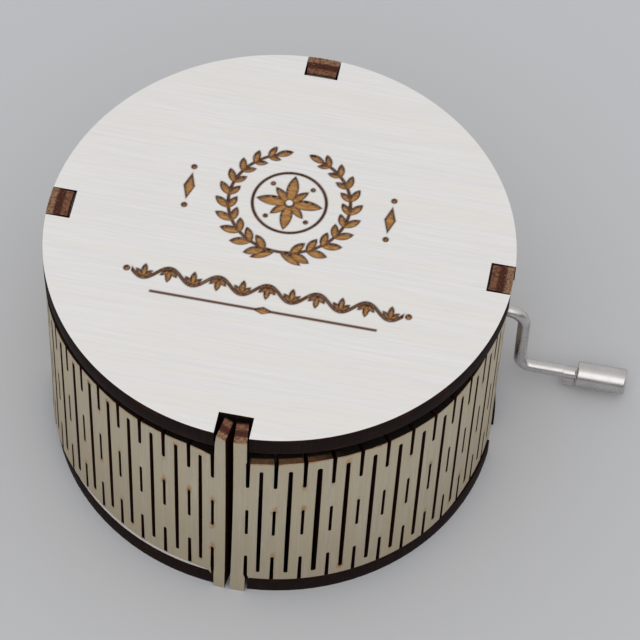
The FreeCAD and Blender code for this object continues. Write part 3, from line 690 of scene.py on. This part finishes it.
def wreath(x, y):
    """Two leafy branches round a compass star, the same on both sides of the middle."""
    level, ring, gap_from = 8.0, 10.4, 66.0
    x, y = np.abs(x), y - level
    reach, angle = np.hypot(x, y), np.degrees(np.arctan2(y, x))
    tip = polar(ring, gap_from)
    branch = np.where(angle < gap_from, np.abs(reach - ring), dot(x, y, tip, 0.0)) - 0.2
    shapes = [branch, leaf(x, y, tip, gap_from + 90, 3.0, 1.2),
              leaf(x, y, (0.5, -ring), -28, 4.2, 1.3)]
    for step in range(10):
        place, grow = -78 + 15.2 * step, 1 - 0.035 * step
        base, berry = polar(ring, place), polar(ring + 1.3, place + 8)
        shapes += [leaf(x, y, base, place + 54, 3.7 * grow, 1.5 * grow),
                   leaf(x, y, base, place + 128, 3.1 * grow, 1.3 * grow), dot(x, y, berry, 0.34)]
    quarter, eighth = np.radians((angle + 45) % 90 - 45), np.radians(angle % 90 - 45)
    between = reach * np.cos(eighth), reach * np.sin(eighth)
    star = nearest([leaf(reach * np.cos(quarter), reach * np.sin(quarter), (0.0, 0.0), 0, 5.6, 1.9),
                    leaf(*between, (0.0, 0.0), 0, 3.9, 1.3)])
    return nearest(shapes + [np.maximum(star, 0.7 - reach), np.abs(reach - 6.3) - 0.17,
                             dot(*between, (4.9, 0.0), 0.36)])


def side_sprigs(x, y):
    """A diamond with a dot above and below, on both sides of the wreath."""
    x = np.abs(x)
    return nearest([lozenge(x, y, (17.4, 8.0), 0.9, 2.6)] +
                   [dot(x, y, (17.4, height), 0.45) for height in (3.9, 12.1)])


def running_vine(x, y):
    """A wave, y = h + a cos(2 pi x / l), with a three-leaved sprig in each bay, over a rule."""
    height, swing, wave, rule = -10.9, 1.35, 8.4, -14.7
    x = np.abs(x)
    turn = 2 * np.pi / wave
    slope = swing * turn * np.sin(turn * x)
    line = np.abs(y - height - swing * np.cos(turn * x)) / np.sqrt(1 + slope ** 2) - 0.24
    shapes = [np.maximum(line, x - 23.1), dot(x, y, (24.0, height), 0.5),
              np.maximum(np.abs(y - rule) - 0.15, x - 19.2), lozenge(x, y, (0.0, rule), 1.7, 0.65)]
    for bay in range(6):
        side = (-1) ** bay
        base = (bay * wave / 2, height + side * (swing - 0.3))
        shapes += [leaf(x, y, base, -90 * side + spread, length, width)
                   for spread, length, width in ((0, 2.5, 0.95), (46, 1.9, 0.7), (-46, 1.9, 0.7))]
    return nearest(shapes)


def ornament(x, y):
    return nearest([wreath(x, y), side_sprigs(x, y), running_vine(x, y)])


def carve(box, x, y, top):
    """The ornament as a height under the lid's face.

    Its distance field pulls grid points onto the outline, then the floor lies at the full depth
    a tenth of a millimetre inside it.
    """
    step, least_steep, reach = 0.01, 0.25, 0.55 * box.carve_cell
    edge, slope, burn_middle, burn_width = 0.01, 0.09, 0.04, 0.17
    apart = ornament(x, y)
    pull_x = (ornament(x + step, y) - ornament(x - step, y)) / (2 * step)
    pull_y = (ornament(x, y + step) - ornament(x, y - step)) / (2 * step)
    pull = apart / np.maximum(pull_x ** 2 + pull_y ** 2, least_steep)
    pull = np.where(np.abs(apart) < reach, pull, 0)
    x, y = x - pull * pull_x, y - pull * pull_y
    apart = ornament(x, y)
    sunk = unit((-apart - edge) / slope)
    burnt = bell(apart + burn_middle, burn_width)
    return x, y, top - box.carve_depth * sunk, {"carved": sunk, "burnt": burnt}


def add_carved_lid(box):
    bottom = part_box("top_disc")[0].z / MM
    low, high = (-25.5, -17.0), (25.5, 21.25)
    shape = disc_shape(box, box.disc_radius, bottom, low, high, box.carve_cell, carved=True)
    finish = disc_ply(box, "lid_ply", bottom, carved=True)
    new_piece("carved_lid", shape, "box", ["top_disc"], [finish])


def screw_places():
    """The middles of the mounting screws' heads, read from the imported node's own solids."""
    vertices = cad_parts["mounting_screws"].data.vertices
    points = np.empty(3 * len(vertices), np.float32)
    vertices.foreach_get("co", points)
    points = points.reshape(-1, 3).astype(float) / MM
    heads = points[points[:, 2] < 0.02]
    right, rear = (heads[:, axis] > middle("mounting_screws", axis) for axis in (0, 1))
    screws = (heads[chosen] for chosen in (~right & ~rear, ~right & rear, right & ~rear))
    return [(screw.min(0) + screw.max(0)) / 2 for screw in screws]


def add_base_disc(box):
    radius = box.disc_radius - box.base_inset
    shape = disc_shape(box, radius, 0.0, (-20.0, -20.0), (20.0, 20.0), 1.0)
    finish = disc_ply(box, "base_ply", 0.0, painted_shade_radius=radius - 0.45)
    piece = new_piece("base_disc", shape, "box", ["bottom_disc"], [finish])
    head, shank = box.head_radius + 0.03, box.screw_radius + 0.15
    along = [-1.0, 0.0, head - box.screw_radius - 0.15, box.ply + 1.0]
    for place in screw_places():
        cut_away(piece, stood(turned(along, [head, head, shank, shank], columns=48), place))


def threaded(box, start, end):
    """A screw's shank: radius = core + height * saw(along / pitch - turn), faded at both ends."""
    rows, columns, height, runout = 90, 36, 0.22, 0.5
    along = np.linspace(start, end, rows)[:, None]
    phase = (along / box.thread_pitch - circle(columns) / (2 * np.pi)) % 1
    ridge = 1 - np.abs(2 * phase - 1)
    shown = unit(np.minimum(along - start, end - along) / runout)
    radius = box.screw_radius - height * (1 - ridge * shown)
    return turned(along[:, 0], radius, columns=columns)


def add_mounting_screws(box):
    """Countersunk heads with a driver's slot, and threaded shanks."""
    neck = box.head_radius - box.screw_radius
    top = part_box("mounting_screws")[1].z / MM
    head = [(0.0, 0.4), (0.0, box.head_radius - 0.08), (0.06, box.head_radius),
            (0.12, box.head_radius), (neck, box.screw_radius),
            (neck + 0.3, box.screw_radius - 0.2)]
    parts = turned(*zip(*head), columns=48), threaded(box, neck + 0.1, top)
    places = screw_places()
    shape = joined([stood(part, place) for place in places for part in parts])
    finishes = [movement_finishes(box)["steel"]]
    replaced = ["mounting_screws"]
    piece = new_piece("mounting_screw_set", shape, "box", replaced, finishes, 35.0)
    for x, y, _ in places:
        square = np.array([[y - 0.25, -1.0], [y - 0.25, 0.5], [y + 0.25, 0.5], [y + 0.25, -1.0]])
        slot = loft(np.stack([np.insert(square, 0, end, 1) for end in (x - 3, x + 3)]))
        cut_away(piece, slot)


# ---- wall ----

# Where what bends the strip fades in or out: start and width, in degrees from the seam.
FADE = SimpleNamespace(
    lean=(50, 30), side_in=(50, 25), side_out=(105, 40), waist_in=(50, 20), waist_out=(100, 30),
    creep_in=(1, 8), creep_more=(22, 40), twist_in=(1, 4), twist_out=(30, 40), right_out=(62, 22),
    left_in=(6, 6), left_out=(32, 10), end_in=(0.9, 1.5), end_out=(4, 8), front=(70, 18),
    foot=(50, 30), shoulder=(16, 12), wider=(5, 55))
# The amber spots: how rare the strong ones are, and their least and largest spread; and where the
# front tabs end, in degrees from the seam.
RARITY, SPOT_SPREAD, FRONT_TAB = 1.8, (0.35, 0.7), 4.1
# How far the slits creep as the strip is bent, in degrees.
CREEP = SimpleNamespace(near=0.58, more=0.55, twist=0.65, left=0.25, end=0.48)
# The share of the height about which the right part leans, and the slack in the left part's inset.
LEAN_PIVOT, SLACK = 0.3, 0.15
# Shares of a slit's width: a long one's at its ends, what it gains at mid height, and by side; and
# what the short ones gain at the foot, at the head, and out to the open end.
SLIT = SimpleNamespace(ends=0.9, bow=0.12, right=1.14, left=0.97, far_left=0.28,
                       foot=0.06, head=0.14, open_end=0.24)
# Long slits that came out wider or narrower: share, turn and spread in degrees.
ODD_SLITS = ((0.2, 21.5, 3), (-0.12, 7, 4))
# Heights of the grid's rows besides those at the slits' ends; those about the wall's head, from
# the lid's lower face; and how far below that face the rows sink to leave the gap at the front.
ROWS = [0.0, 1.3, 2.7, 5.6, 9.8, 14.8, 17.6, 21.8, 23.8, 25.9, 30.4, 32.9, 38.0, 41.0]
HEAD_ROWS = (-0.6, -0.25, 0.0, 1.3, 2.7, 3.3)
HEAD_DEPTH = 0.7
# Rows in a slit's round end, as shares of the end's radius.
ROUND_STEPS = np.array([0.0, 0.28, 0.65, 1.0])
# The strip's two ends against the seam's middle, as polynomials of the share of the height: the
# right one's shape, times the sway, and the left one's offset.
RIGHT_END = (-1.08, 2.08, -0.92)
LEFT_END = (0.21, -0.42)
# How much narrower the tab right of the seam is at its foot.
TAB_TAPER = 0.2
# How far the tabs' faces stand outside the rim: at the front; elsewhere at the head, and how much
# less at the foot.
TAB_FACE = SimpleNamespace(front=0.08, head=-0.15, less=0.75)


def from_seam(around):
    return np.minimum(around, 360 - around)


def from_tab(around):
    """Degrees to the nearest quarter turn, where the tabs are."""
    return np.abs((around + 45) % 90 - 45)


def stand_off(box, around, up):
    """How far the strip's face stands outside the rim, at a turn and a share of the whole height.

    Right of the seam: lean * (up - 0.3), faded out by the side, plus spring * up^1.3 *
    (1 - turn)^1.5, less an inset beside the quarter turn that grows towards the foot. Left of the
    seam: -inset, faded out, plus (inset + flare * up^3) * (1 - turn)^2, less waist * 4 up (1 - up)
    beside the quarter turn.
    """
    back = 360 - around
    lean = box.lean * (up - LEAN_PIVOT) * fade(around, *FADE.lean)
    spring = box.spring * up ** 1.3 * unit(1 - around / box.spring_turn) ** 1.5
    beside = ease(around, *FADE.side_in) * fade(around, *FADE.side_out)
    tucked = (box.side_inset + box.foot_inset * (1 - up)) * beside
    depth = box.inset - SLACK * up
    inset = depth * fade(back, box.inset_turn, box.inset_fade)
    sprung = depth + box.flare * up ** 3 + SLACK * (1 - up)
    flare = sprung * unit(1 - back / box.flare_turn) ** 2
    waist = ease(back, *FADE.waist_in) * fade(back, *FADE.waist_out)
    waist = box.waist * 4 * up * (1 - up) * waist
    return np.where(around <= 180, lean + spring - tucked, flare - inset - waist)


def drift(around, up):
    """How far the slits have crept round as the strip was bent, in degrees.

    Right of the seam: twist * (up - 1/2) - near, and less by more as it goes round, then faded out.
    Left of it: left, faded in and out, less end * (1 - up / 2) at the strip's very end.
    """
    back = 360 - around
    creep = CREEP.near + CREEP.more * ease(around, *FADE.creep_more)
    creep = creep * ease(around, *FADE.creep_in)
    twist = CREEP.twist * (up - 0.5) * ease(around, *FADE.twist_in) * fade(around, *FADE.twist_out)
    left = CREEP.left * ease(back, *FADE.left_in) * fade(back, *FADE.left_out)
    end = CREEP.end * (1 - up / 2) * ease(back, *FADE.end_in) * fade(back, *FADE.end_out)
    return np.where(around <= 180, (twist - creep) * fade(around, *FADE.right_out), left - end)


def slit_ends(box):
    """Heights of the slits' ends and the way into each slit: both ends of the long slits, the
    lower edge slits' head, both ends of the middle slits and the upper edge slits' foot."""
    centre = box.ply + box.wall_height / 2 - box.slit_drop
    long_half = box.wall_height / 2 - box.long_land
    edge_half = box.wall_height / 2 - box.edge_slit
    middle_half = box.middle_slit / 2
    return [(centre - long_half, 1), (centre + long_half, -1), (centre - edge_half, -1),
            (centre - middle_half, 1), (centre + middle_half, -1), (centre + edge_half, 1)]


def wall_columns(box):
    """Every column of the wall's grid: its turn, its slit line (-1 for none) and its side of it."""
    seam = math.degrees(box.seam_gap / 2 / box.disc_radius)
    step = (360 - 2 * seam) / (2 * box.hinge_pitches)
    lines = seam + step * np.arange(2 * box.hinge_pitches + 1)
    half_slit = np.degrees(np.array([box.long_slit, box.short_slit]) / 2 / box.disc_radius)
    half_tab = math.degrees(math.asin(box.tab_width / 2 / box.disc_radius))
    tabs = np.array([quarter + side * half_tab for quarter in (0, 90, 180, 270, 360)
                     for side in (-1, 1) if 0 < quarter + side * half_tab < 360])
    columns = [(lines[0], -1, 0), (lines[-1], -1, 0)]
    for number in range(1, len(lines) - 1):
        half = half_slit[number % 2]
        columns += [(lines[number] - half, number, -1), (lines[number] + half, number, 1)]
    edges = np.array([column[0] for column in columns])
    columns += [(tab, -1, 0) for tab in tabs if np.abs(edges - tab).min() > 0.45]
    between = (line + step * share for line in lines[:-1] for share in (1 / 3, 2 / 3))
    columns += [(place, -1, 0) for place in between if np.abs(tabs - place).min() > 0.9]
    columns.sort()
    return np.array(columns), lines, tabs


def solid_cells(box, turns, heights, lines, ends):
    """Which cells between the grid's columns and rows are wood: all but the slits between the
    discs, and only the tabs within them. Short slits keep clear of the crank's hole and, where
    they are open at the edge, of the tabs at the sides and back."""
    bottom, top = box.ply, box.ply + box.wall_height
    long_low, long_high, edge_low, mid_low, mid_high, edge_high = (end for end, _ in ends)
    turn = (turns[:-1] + turns[1:]) / 2
    height = ((heights[:-1] + heights[1:]) / 2)[:, None]
    number = np.rint((turn - lines[0]) / (lines[1] - lines[0])).astype(int)
    number = np.clip(number, 0, len(lines) - 1)
    line, is_long = lines[number], number % 2 == 0
    half = np.where(is_long, box.long_slit, box.short_slit) / 2
    in_line = np.abs(turn - line) < np.degrees(half / box.disc_radius)
    in_line &= (number > 0) & (number < len(lines) - 1)
    is_open = is_long & (height > long_low) & (height < long_high)
    across = box.disc_radius * np.sin(np.radians(line - 90)) - middle("crank_wire", 1)
    level = middle("worm_shaft", 2)
    beside = np.radians(from_tab(line)) * box.disc_radius
    free = (beside > (box.tab_width + box.short_slit) / 2) | (from_seam(line) < 45)
    for low, high, allowed in ((-1.0, edge_low, free), (mid_low, mid_high, True),
                               (edge_high, top + box.ply, free)):
        apart = np.hypot(across, np.clip(level, low, high) - level)
        clear = (apart > box.hole_radius + 2 * box.short_slit) | (line < 90) | (line > 180)
        is_open = is_open | (~is_long & allowed & clear & (height > low) & (height < high))
    half_tab = np.degrees(np.arcsin(box.tab_width / 2 / box.disc_radius))
    between = (height > bottom) & (height < top)
    return np.where(between, ~(in_line & is_open), from_tab(turn) < half_tab)


def shell_faces(solid):
    """Faces of the outside and the inside of the solid cells, and of each edge where one meets an
    open cell; and the material of each face."""
    rows, columns = np.add(solid.shape, 1)
    outer = np.arange(rows * columns).reshape(rows, columns)
    inner = outer + rows * columns
    filled = np.pad(solid, 1)
    here, left = filled[1:-1, 1:], filled[1:-1, :-1]
    above, below = filled[1:, 1:-1], filled[:-1, 1:-1]

    def quads(keep, *corners):
        return np.stack([corner[keep] for corner in corners], -1)

    skin = [quads(solid, outer[:-1, :-1], outer[:-1, 1:], outer[1:, 1:], outer[1:, :-1]),
            quads(solid, inner[:-1, :-1], inner[1:, :-1], inner[1:, 1:], inner[:-1, 1:])]
    edges = [quads(here & ~left, outer[:-1], outer[1:], inner[1:], inner[:-1]),
             quads(left & ~here, outer[:-1], inner[:-1], inner[1:], outer[1:]),
             quads(above & ~below, outer[:, :-1], inner[:, :-1], inner[:, 1:], outer[:, 1:]),
             quads(below & ~above, outer[:, :-1], outer[:, 1:], inner[:, 1:], inner[:, :-1])]
    kinds = np.repeat([0, 1], [sum(map(len, skin)), sum(map(len, edges))])
    return skin + edges, kinds


def wall_shape(box):
    """The slit strip, bent into a ring, as two layers of one grid joined wherever a cell is open.

    A point lies at radius = rim + stand-off - depth and at turn = anchor + asin(offset / radius),
    where the offset is half the slit's width, drawn in to a round end.
    """
    table, lines, tabs = wall_columns(box)
    turns, slit, side = table[:, 0], table[:, 1].astype(int), table[:, 2]
    bottom, top = box.ply, box.ply + box.wall_height
    whole = top + box.ply
    ends = slit_ends(box)
    (long_low, _), (long_high, _), (edge_low, _), *_, (edge_high, _) = ends
    round_off = box.long_slit / 2
    heights = ROWS + [bottom, whole] + [top + step for step in HEAD_ROWS]
    for end, way in ends:
        heights += list(end + way * (ROUND_STEPS * round_off))
    heights = np.array(sorted(heights))

    grid_turn, height = np.meshgrid(turns, heights)
    is_long = slit % 2 == 0
    anchor = np.where(slit >= 0, lines[slit], grid_turn)
    bow = unit(1 - ((height - (long_low + long_high) / 2) / ((long_high - long_low) / 2)) ** 2)
    wide = SLIT.ends + SLIT.bow * bow
    for gain, turn, width in ODD_SLITS:
        wide += gain * bell(anchor - turn, width)
    left = SLIT.left + SLIT.far_left * ease(360 - anchor, *FADE.wider)
    wide *= np.where(anchor < 180, SLIT.right, left)
    spread = 1.0
    for end, gain, edge in ((edge_low, SLIT.foot, bottom), (edge_high, SLIT.head, top)):
        out = unit((height - end) / (edge - end))
        spread = spread + (gain + SLIT.open_end * out) * (out > 0)
    half = np.where(is_long, box.long_slit / 2 * wide, box.short_slit / 2 * spread)

    def round_end(end, way):
        inside = (height - end) * way / round_off
        share = np.sqrt(np.clip(1 - (1 - unit(inside)) ** 2, 0.1, 1))
        return np.where((inside > -0.05) & (inside < 1), share, 1.0)

    shares = [round_end(*end) for end in ends]
    offset = side * half * np.where(is_long, np.prod(shares[:2], 0), np.prod(shares[2:], 0))

    share = heights / whole
    in_tab = (heights <= bottom) | (heights >= top)
    for tab in tabs:
        column = int(np.abs(turns - tab).argmin())
        quarter = round(tab / 90) * 90
        anchor[in_tab, column] = quarter
        edge = np.full(len(heights), math.copysign(box.tab_width / 2, tab - quarter))
        if quarter == 0:
            edge -= TAB_TAPER * (1 - share)
        elif quarter == 360:
            edge += box.bevel * np.clip((heights - top) / box.ply, -0.25, 1)
        offset[in_tab, column] = edge[in_tab]
    anchor[:, 0], anchor[:, -1] = 0, 360
    offset[:, 0] = box.seam_gap / 2 + box.sway * np.polyval(RIGHT_END, share)
    offset[:, -1] = np.polyval(LEFT_END, share) - box.seam_gap / 2

    near_tab = in_tab[:, None] & (from_tab(anchor) < 5)
    right = anchor < 180
    gap = fade(from_seam(anchor), *FADE.front) * (box.head_gap + ~right * box.left_drop)
    level = height - np.where((height > top - HEAD_DEPTH) & (height <= top), gap, 0)
    level += np.where(height == bottom, box.foot_gap * fade(anchor, *FADE.foot) * right, 0)
    up = level / whole
    place = np.clip(anchor + np.degrees(offset / box.disc_radius), 0.2, 359.8)
    face = stand_off(box, place, up)
    tab_face = TAB_FACE.head - TAB_FACE.less * (1 - up)
    tab_face = np.where(from_seam(anchor) < 30, TAB_FACE.front, tab_face)
    face = np.where(near_tab, np.maximum(face, tab_face), face)
    step = 0.2
    rise = stand_off(box, place + step, up) - stand_off(box, place - step, up)
    tilt = np.arctan2(rise / np.radians(2 * step), box.disc_radius)
    tilt = np.clip(tilt, -0.12, 0.12)
    moved = np.radians(anchor + np.where(near_tab, 0, drift(anchor, up)) - 90)
    bare = np.where((height == 0) | (height == whole), 1.0, 0.0)
    bare = np.where((height == top) & right, 0.45 * fade(anchor, *FADE.shoulder), bare)

    def layer(depth):
        radius = box.disc_radius + face
        angle = moved + np.arcsin(offset / radius)
        x = radius * np.cos(angle) - depth * np.cos(angle - tilt)
        y = radius * np.sin(angle) - depth * np.sin(angle - tilt)
        return np.stack([x, y, level], -1).reshape(-1, 3)

    faces, kinds = shell_faces(solid_cells(box, turns, heights, lines, ends))
    values = {
        "ply_depth": np.repeat([0.0, 1.0], height.size),
        "amber": np.tile(amber_spots(box, anchor, height, lines, ends).ravel(), 2),
        "bare": np.tile(bare.ravel(), 2),
    }
    return np.vstack([layer(0.0), layer(box.ply)]), faces, values, kinds


def amber_spots(box, anchor, height, lines, ends):
    """Scorch round the slits' ends: amount * exp(-(distance / spread) ** 2), stronger at a few; and
    a thin line of it along the wall's head and the tabs' ends."""
    top = box.ply + box.wall_height
    rng = np.random.default_rng(11)
    amount = rng.random((len(ends), len(lines))) ** RARITY
    spread = rng.uniform(*SPOT_SPREAD, (len(ends), len(lines)))
    place = (anchor - lines[0]) / (lines[1] - lines[0])
    spots = np.zeros(anchor.shape)
    for index, (end, _) in enumerate(ends):
        parity = 0 if index < 2 else 1
        number = 2 * np.rint((place - parity) / 2).astype(int) + parity
        number = np.clip(number, 0, len(lines) - 1)
        across = np.radians(anchor - lines[number]) * box.disc_radius
        distance = np.hypot(across, (height - end) * 0.7)
        spot = amount[index][number] * bell(distance, spread[index][number])
        spots = np.maximum(spots, spot)
    singed = 0.72 + 0.28 * np.sin(place * 1.7) * np.cos(place * 0.9)
    line = singed * bell(top - height, 0.45) * (from_seam(anchor) > FRONT_TAB)
    tip = 0.5 * bell(top + box.ply - height, 0.4)
    return np.maximum(spots, np.where(height <= top, line, tip))


def add_slit_wall(box):
    shape = wall_shape(box)
    finishes = [wall_face_ply(box), wall_cut_ply(box)]
    piece = new_piece("slit_wall", shape, "box", ["flex_wall"], finishes, 25.0)
    hole = (0, middle("crank_wire", 1), middle("worm_shaft", 2))
    cut_away(piece, turned([28.0, 46.0], [box.hole_radius] * 2, hole, 72), 1)


# ---- crank ----


def wire_path(box):
    """Stations of the bent wire: straight runs and quarter circles in the plane of its arm.

    Each station has its place, its slope, its radius and how far it is pinched.
    """
    low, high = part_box("crank_wire")
    level, grip = middle("worm_shaft", 2), middle("crank_knob", 2)
    start, end = low.x / MM, high.x / MM - box.rivet_length
    shoulder = start + box.screwed_length
    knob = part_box("crank_knob")[0].x / MM
    ear_end = knob - box.knob_overlap - 0.12
    ear_start = ear_end - box.ear_length
    arm, upper, lower = box.arm_place, box.upper_bend, box.lower_bend
    quarter = np.linspace(0, np.pi / 2, 17)
    sine, cosine = np.sin(quarter), np.cos(quarter)
    runs = [
        (np.array([start, start + 0.3, shoulder - 0.001, shoulder, shoulder + 0.12, arm - upper]),
         level, 0.0),
        (arm - upper + upper * sine, level - upper + upper * cosine, quarter),
        (arm, np.linspace(level - upper, grip + lower, 5), np.pi / 2),
        (arm + lower - lower * cosine, grip + lower - lower * sine, np.pi / 2 - quarter),
        (np.concatenate([np.linspace(arm + lower, ear_start - 0.4, 6),
                         np.linspace(ear_start - 0.3, ear_end + 0.15, 36),
                         [knob + 1.0, end - 0.001, end]]), grip, 0.0),
    ]
    x, z, slope = (np.concatenate(parts) for parts in
                   zip(*(np.broadcast_arrays(*run) for run in runs)))
    keep = np.append(True, np.hypot(np.diff(x), np.diff(z)) > 1e-6)
    x, z, slope = x[keep], z[keep], slope[keep]
    radius = np.full(len(x), box.wire_radius)
    radius[x < shoulder - 0.0005] = box.screwed_radius
    radius[0] = box.screwed_radius - 0.25
    radius[np.isclose(x, shoulder)] = box.wire_radius - 0.12
    pinch = ease(x, ear_start - 0.15, 0.35) * fade(x, ear_end - 0.2, 0.3) * (z < grip + 0.01)
    rivet = [(0.0005, -0.12), (0.12, 0.0), (box.rivet_length - 0.25, 0.0),
             (box.rivet_length - 0.06, -0.25), (box.rivet_length, -0.75)]
    for step, wider in rivet:
        x, z, slope = np.append(x, end + step), np.append(z, grip), np.append(slope, 0.0)
        radius, pinch = np.append(radius, box.rivet_radius + wider), np.append(pinch, 0.0)
    return np.stack([x, np.full(len(x), middle("crank_wire", 1)), z], -1), slope, radius, pinch


def add_crank_wire(box):
    """A round section carried along the bent wire, pinched from above beside the knob.

    Section: r(a) = radius + pinch * ((reach - wire) * fin(a) - dent(a)). The fins stand out low
    down on both sides and the dent is on top.
    """
    centre, slope, radius, pinch = wire_path(box)
    angle = circle(64)
    aside = np.abs(np.mod(angle - np.pi / 2, 2 * np.pi) - np.pi)
    fin = bell(aside - np.radians(142), np.radians(8))
    dent = 0.12 * unit(-np.sin(angle)) ** 1.5
    pinched = pinch[:, None] * ((box.ear_reach - box.wire_radius) * fin - dent)
    section = (radius[:, None] + pinched)[:, :, None]
    tangent = np.stack([np.cos(slope), np.zeros(len(slope)), -np.sin(slope)], -1)
    side = np.array([0.0, 1.0, 0.0])
    up = np.cross(side, tangent)[:, None]
    outward = np.cos(angle)[:, None] * side + np.sin(angle)[:, None] * up
    shape = loft(centre[:, None] + section * outward)
    finish = movement_finishes(box)["wire_nickel"]
    new_piece("bent_crank", shape, "crank", ["crank_wire"], [finish], 38.0)


def add_turned_knob(box):
    """The knob's section turned about the grip: chamfered, bored and recessed for the rivet."""
    low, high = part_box("crank_knob")
    start = low.x / MM - box.knob_overlap
    end = high.x / MM - start
    outer = (high.z - low.z) / 2 / MM
    cut, recess = box.knob_chamfer, box.knob_recess
    bore, well = box.wire_radius + 0.04, box.rivet_radius + 0.04
    shoulder = [(0.0, outer - cut - 0.05), (0.07, outer - cut + 0.04), (cut, outer - 0.04),
                (cut + 0.08, outer), (cut + 0.25, outer)]
    profile = [(0.0, bore + 0.12), *shoulder]
    profile += [(end - along, radius) for along, radius in shoulder[::-1]]
    profile += [(end, well + 0.12), (end - 0.12, well), (end - recess, well),
                (end - recess, bore), (0.12, bore)]
    origin = (start, middle("crank_knob", 1), middle("crank_knob", 2))
    shape = turned(*zip(*profile), origin, closed=True)
    finish = movement_finishes(box)["knob_nickel"]
    new_piece("turned_knob", shape, "knob", ["crank_knob"], [finish], 38.0)


# ---- the movement's finishes, floor, light and camera ----


def dress_movement(box):
    """Gives every carried-over node the finish of its material slot."""
    finishes = movement_finishes(box)
    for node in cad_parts.values():
        for slot in node.material_slots:
            name = slot.material.name.split(".")[0]
            if name in finishes:
                slot.material = finishes[name]


def add_light_tent():
    """An even white tent, dark low down in front: strength = side(y) * rise(z, y), with the
    direction's y and z."""
    world = bpy.data.worlds.new("tent")
    bpy.context.scene.world = world
    world.use_nodes = True
    tent = Nodes(world.node_tree)
    direction = tent.node("SeparateXYZ", Vector=tent.node("TexCoord").outputs["Generated"]).outputs
    side = tent.ramp(direction["Y"], -0.6, 0.6, 1.1, 0.65)
    low_front = tent.ramp(direction["Y"], -0.2, 0.3, 0.15, 1.0)
    rise = tent.ramp(direction["Z"], 0.2, 0.7, low_front, 1.0)
    tent.set(tent.tree.nodes["Background"], Color=(1.0, 1.0, 1.0),
             Strength=tent.maths("MULTIPLY", side, rise))


def add_key_light(place, target, width, power):
    """A square soft light that looks at a point."""
    light = bpy.data.lights.new("key", "AREA")
    light.size, light.energy = width, power
    back = Vector(place) - Vector(target)
    made = new_object("key", light)
    made.matrix_world = Matrix.LocRotScale(place, back.to_track_quat("Z", "Y"), None)


def add_stage(box):
    """A pale floor, an even studio light and the camera."""
    reach = 3000.0
    corners = reach * np.array([[-1, -1, 0], [1, -1, 0], [1, 1, 0], [-1, 1, 0]])
    mesh = new_mesh("floor", corners, [np.array([[0, 1, 2, 3]])])
    finish = Finish("floor_paper", Roughness=0.9, Specular_IOR_Level=0.15)
    mesh.materials.append(finish.colour(box.floor))
    new_object("floor", mesh)

    add_key_light((0.0, -0.40, 0.55), (0.0, 0.0, 0.03), 0.6, 0.6)
    add_light_tent()

    camera = bpy.data.cameras.new("camera")
    camera.lens, camera.sensor_width, camera.clip_start = 190.67, 36.0, 0.01
    made = new_object("camera", camera)
    made.matrix_world = Matrix([
        [0.98118, -0.17291, 0.08619, 0.0582],
        [0.19141, 0.80788, -0.55752, -0.3282],
        [0.02677, 0.56353, 0.82567, 0.5140],
        [0.0, 0.0, 0.0, 1.0],
    ])
    bpy.context.scene.camera = made
    bpy.context.scene.view_settings.view_transform = "Standard"


# ---- operators ----


def build(context, *steps):
    """Runs steps with the sizes and colours of the scene's box."""
    box = plain(context.scene.music_box_sizes, context.scene.music_box_colours)
    for step in steps:
        step(box)
    return {"FINISHED"}


class CarvedLid(bpy.types.Operator):
    """Build the lid with its burnt edge, notches and carved ornament"""

    bl_idname = "music_box.carved_lid"
    bl_label = "Carved lid"

    def execute(self, context):
        return build(context, add_carved_lid)


class BaseDisc(bpy.types.Operator):
    """Build the bottom disc with its countersunk holes"""

    bl_idname = "music_box.base_disc"
    bl_label = "Base disc"

    def execute(self, context):
        return build(context, add_base_disc)


class SlitWall(bpy.types.Operator):
    """Build the bent plywood wall with its slits, tabs and crank hole"""

    bl_idname = "music_box.slit_wall"
    bl_label = "Slit wall"

    def execute(self, context):
        return build(context, add_slit_wall)


class Crank(bpy.types.Operator):
    """Build the bent wire crank and its turned knob"""

    bl_idname = "music_box.crank"
    bl_label = "Crank and knob"

    def execute(self, context):
        return build(context, add_crank_wire, add_turned_knob)


class MountingScrews(bpy.types.Operator):
    """Build the countersunk screws under the box"""

    bl_idname = "music_box.mounting_screws"
    bl_label = "Mounting screws"

    def execute(self, context):
        return build(context, add_mounting_screws)


class Movement(bpy.types.Operator):
    """Give the movement's pieces their metal and nylon finishes"""

    bl_idname = "music_box.movement"
    bl_label = "Movement finishes"

    def execute(self, context):
        return build(context, dress_movement)


class Stage(bpy.types.Operator):
    """Build the floor, the studio light and the camera"""

    bl_idname = "music_box.stage"
    bl_label = "Stage"

    def execute(self, context):
        return build(context, add_stage)


OPERATORS = (CarvedLid, BaseDisc, SlitWall, Crank, MountingScrews, Movement, Stage)


class MusicBoxPanel(bpy.types.Panel):
    bl_idname = "VIEW3D_PT_music_box"
    bl_label = "Music Box"
    bl_space_type = "VIEW_3D"
    bl_region_type = "UI"
    bl_category = "Music Box"

    def draw(self, context):
        for operator in OPERATORS:
            self.layout.operator(operator.bl_idname)
        for group in (context.scene.music_box_sizes, context.scene.music_box_colours):
            column = self.layout.column()
            for prop in own_properties(group):
                column.prop(group, prop.identifier)


CLASSES = (MusicBoxSizes, MusicBoxColours, *OPERATORS, MusicBoxPanel)


def register():
    for item in CLASSES:
        bpy.utils.register_class(item)
    bpy.types.Scene.music_box_sizes = PointerProperty(type=MusicBoxSizes)
    bpy.types.Scene.music_box_colours = PointerProperty(type=MusicBoxColours)


def unregister():
    del bpy.types.Scene.music_box_colours
    del bpy.types.Scene.music_box_sizes
    for item in reversed(CLASSES):
        bpy.utils.unregister_class(item)


def main():
    register()
    for operator in OPERATORS:
        group, name = operator.bl_idname.split(".")
        getattr(getattr(bpy.ops, group), name)()


if __name__ == "__main__":
    main()
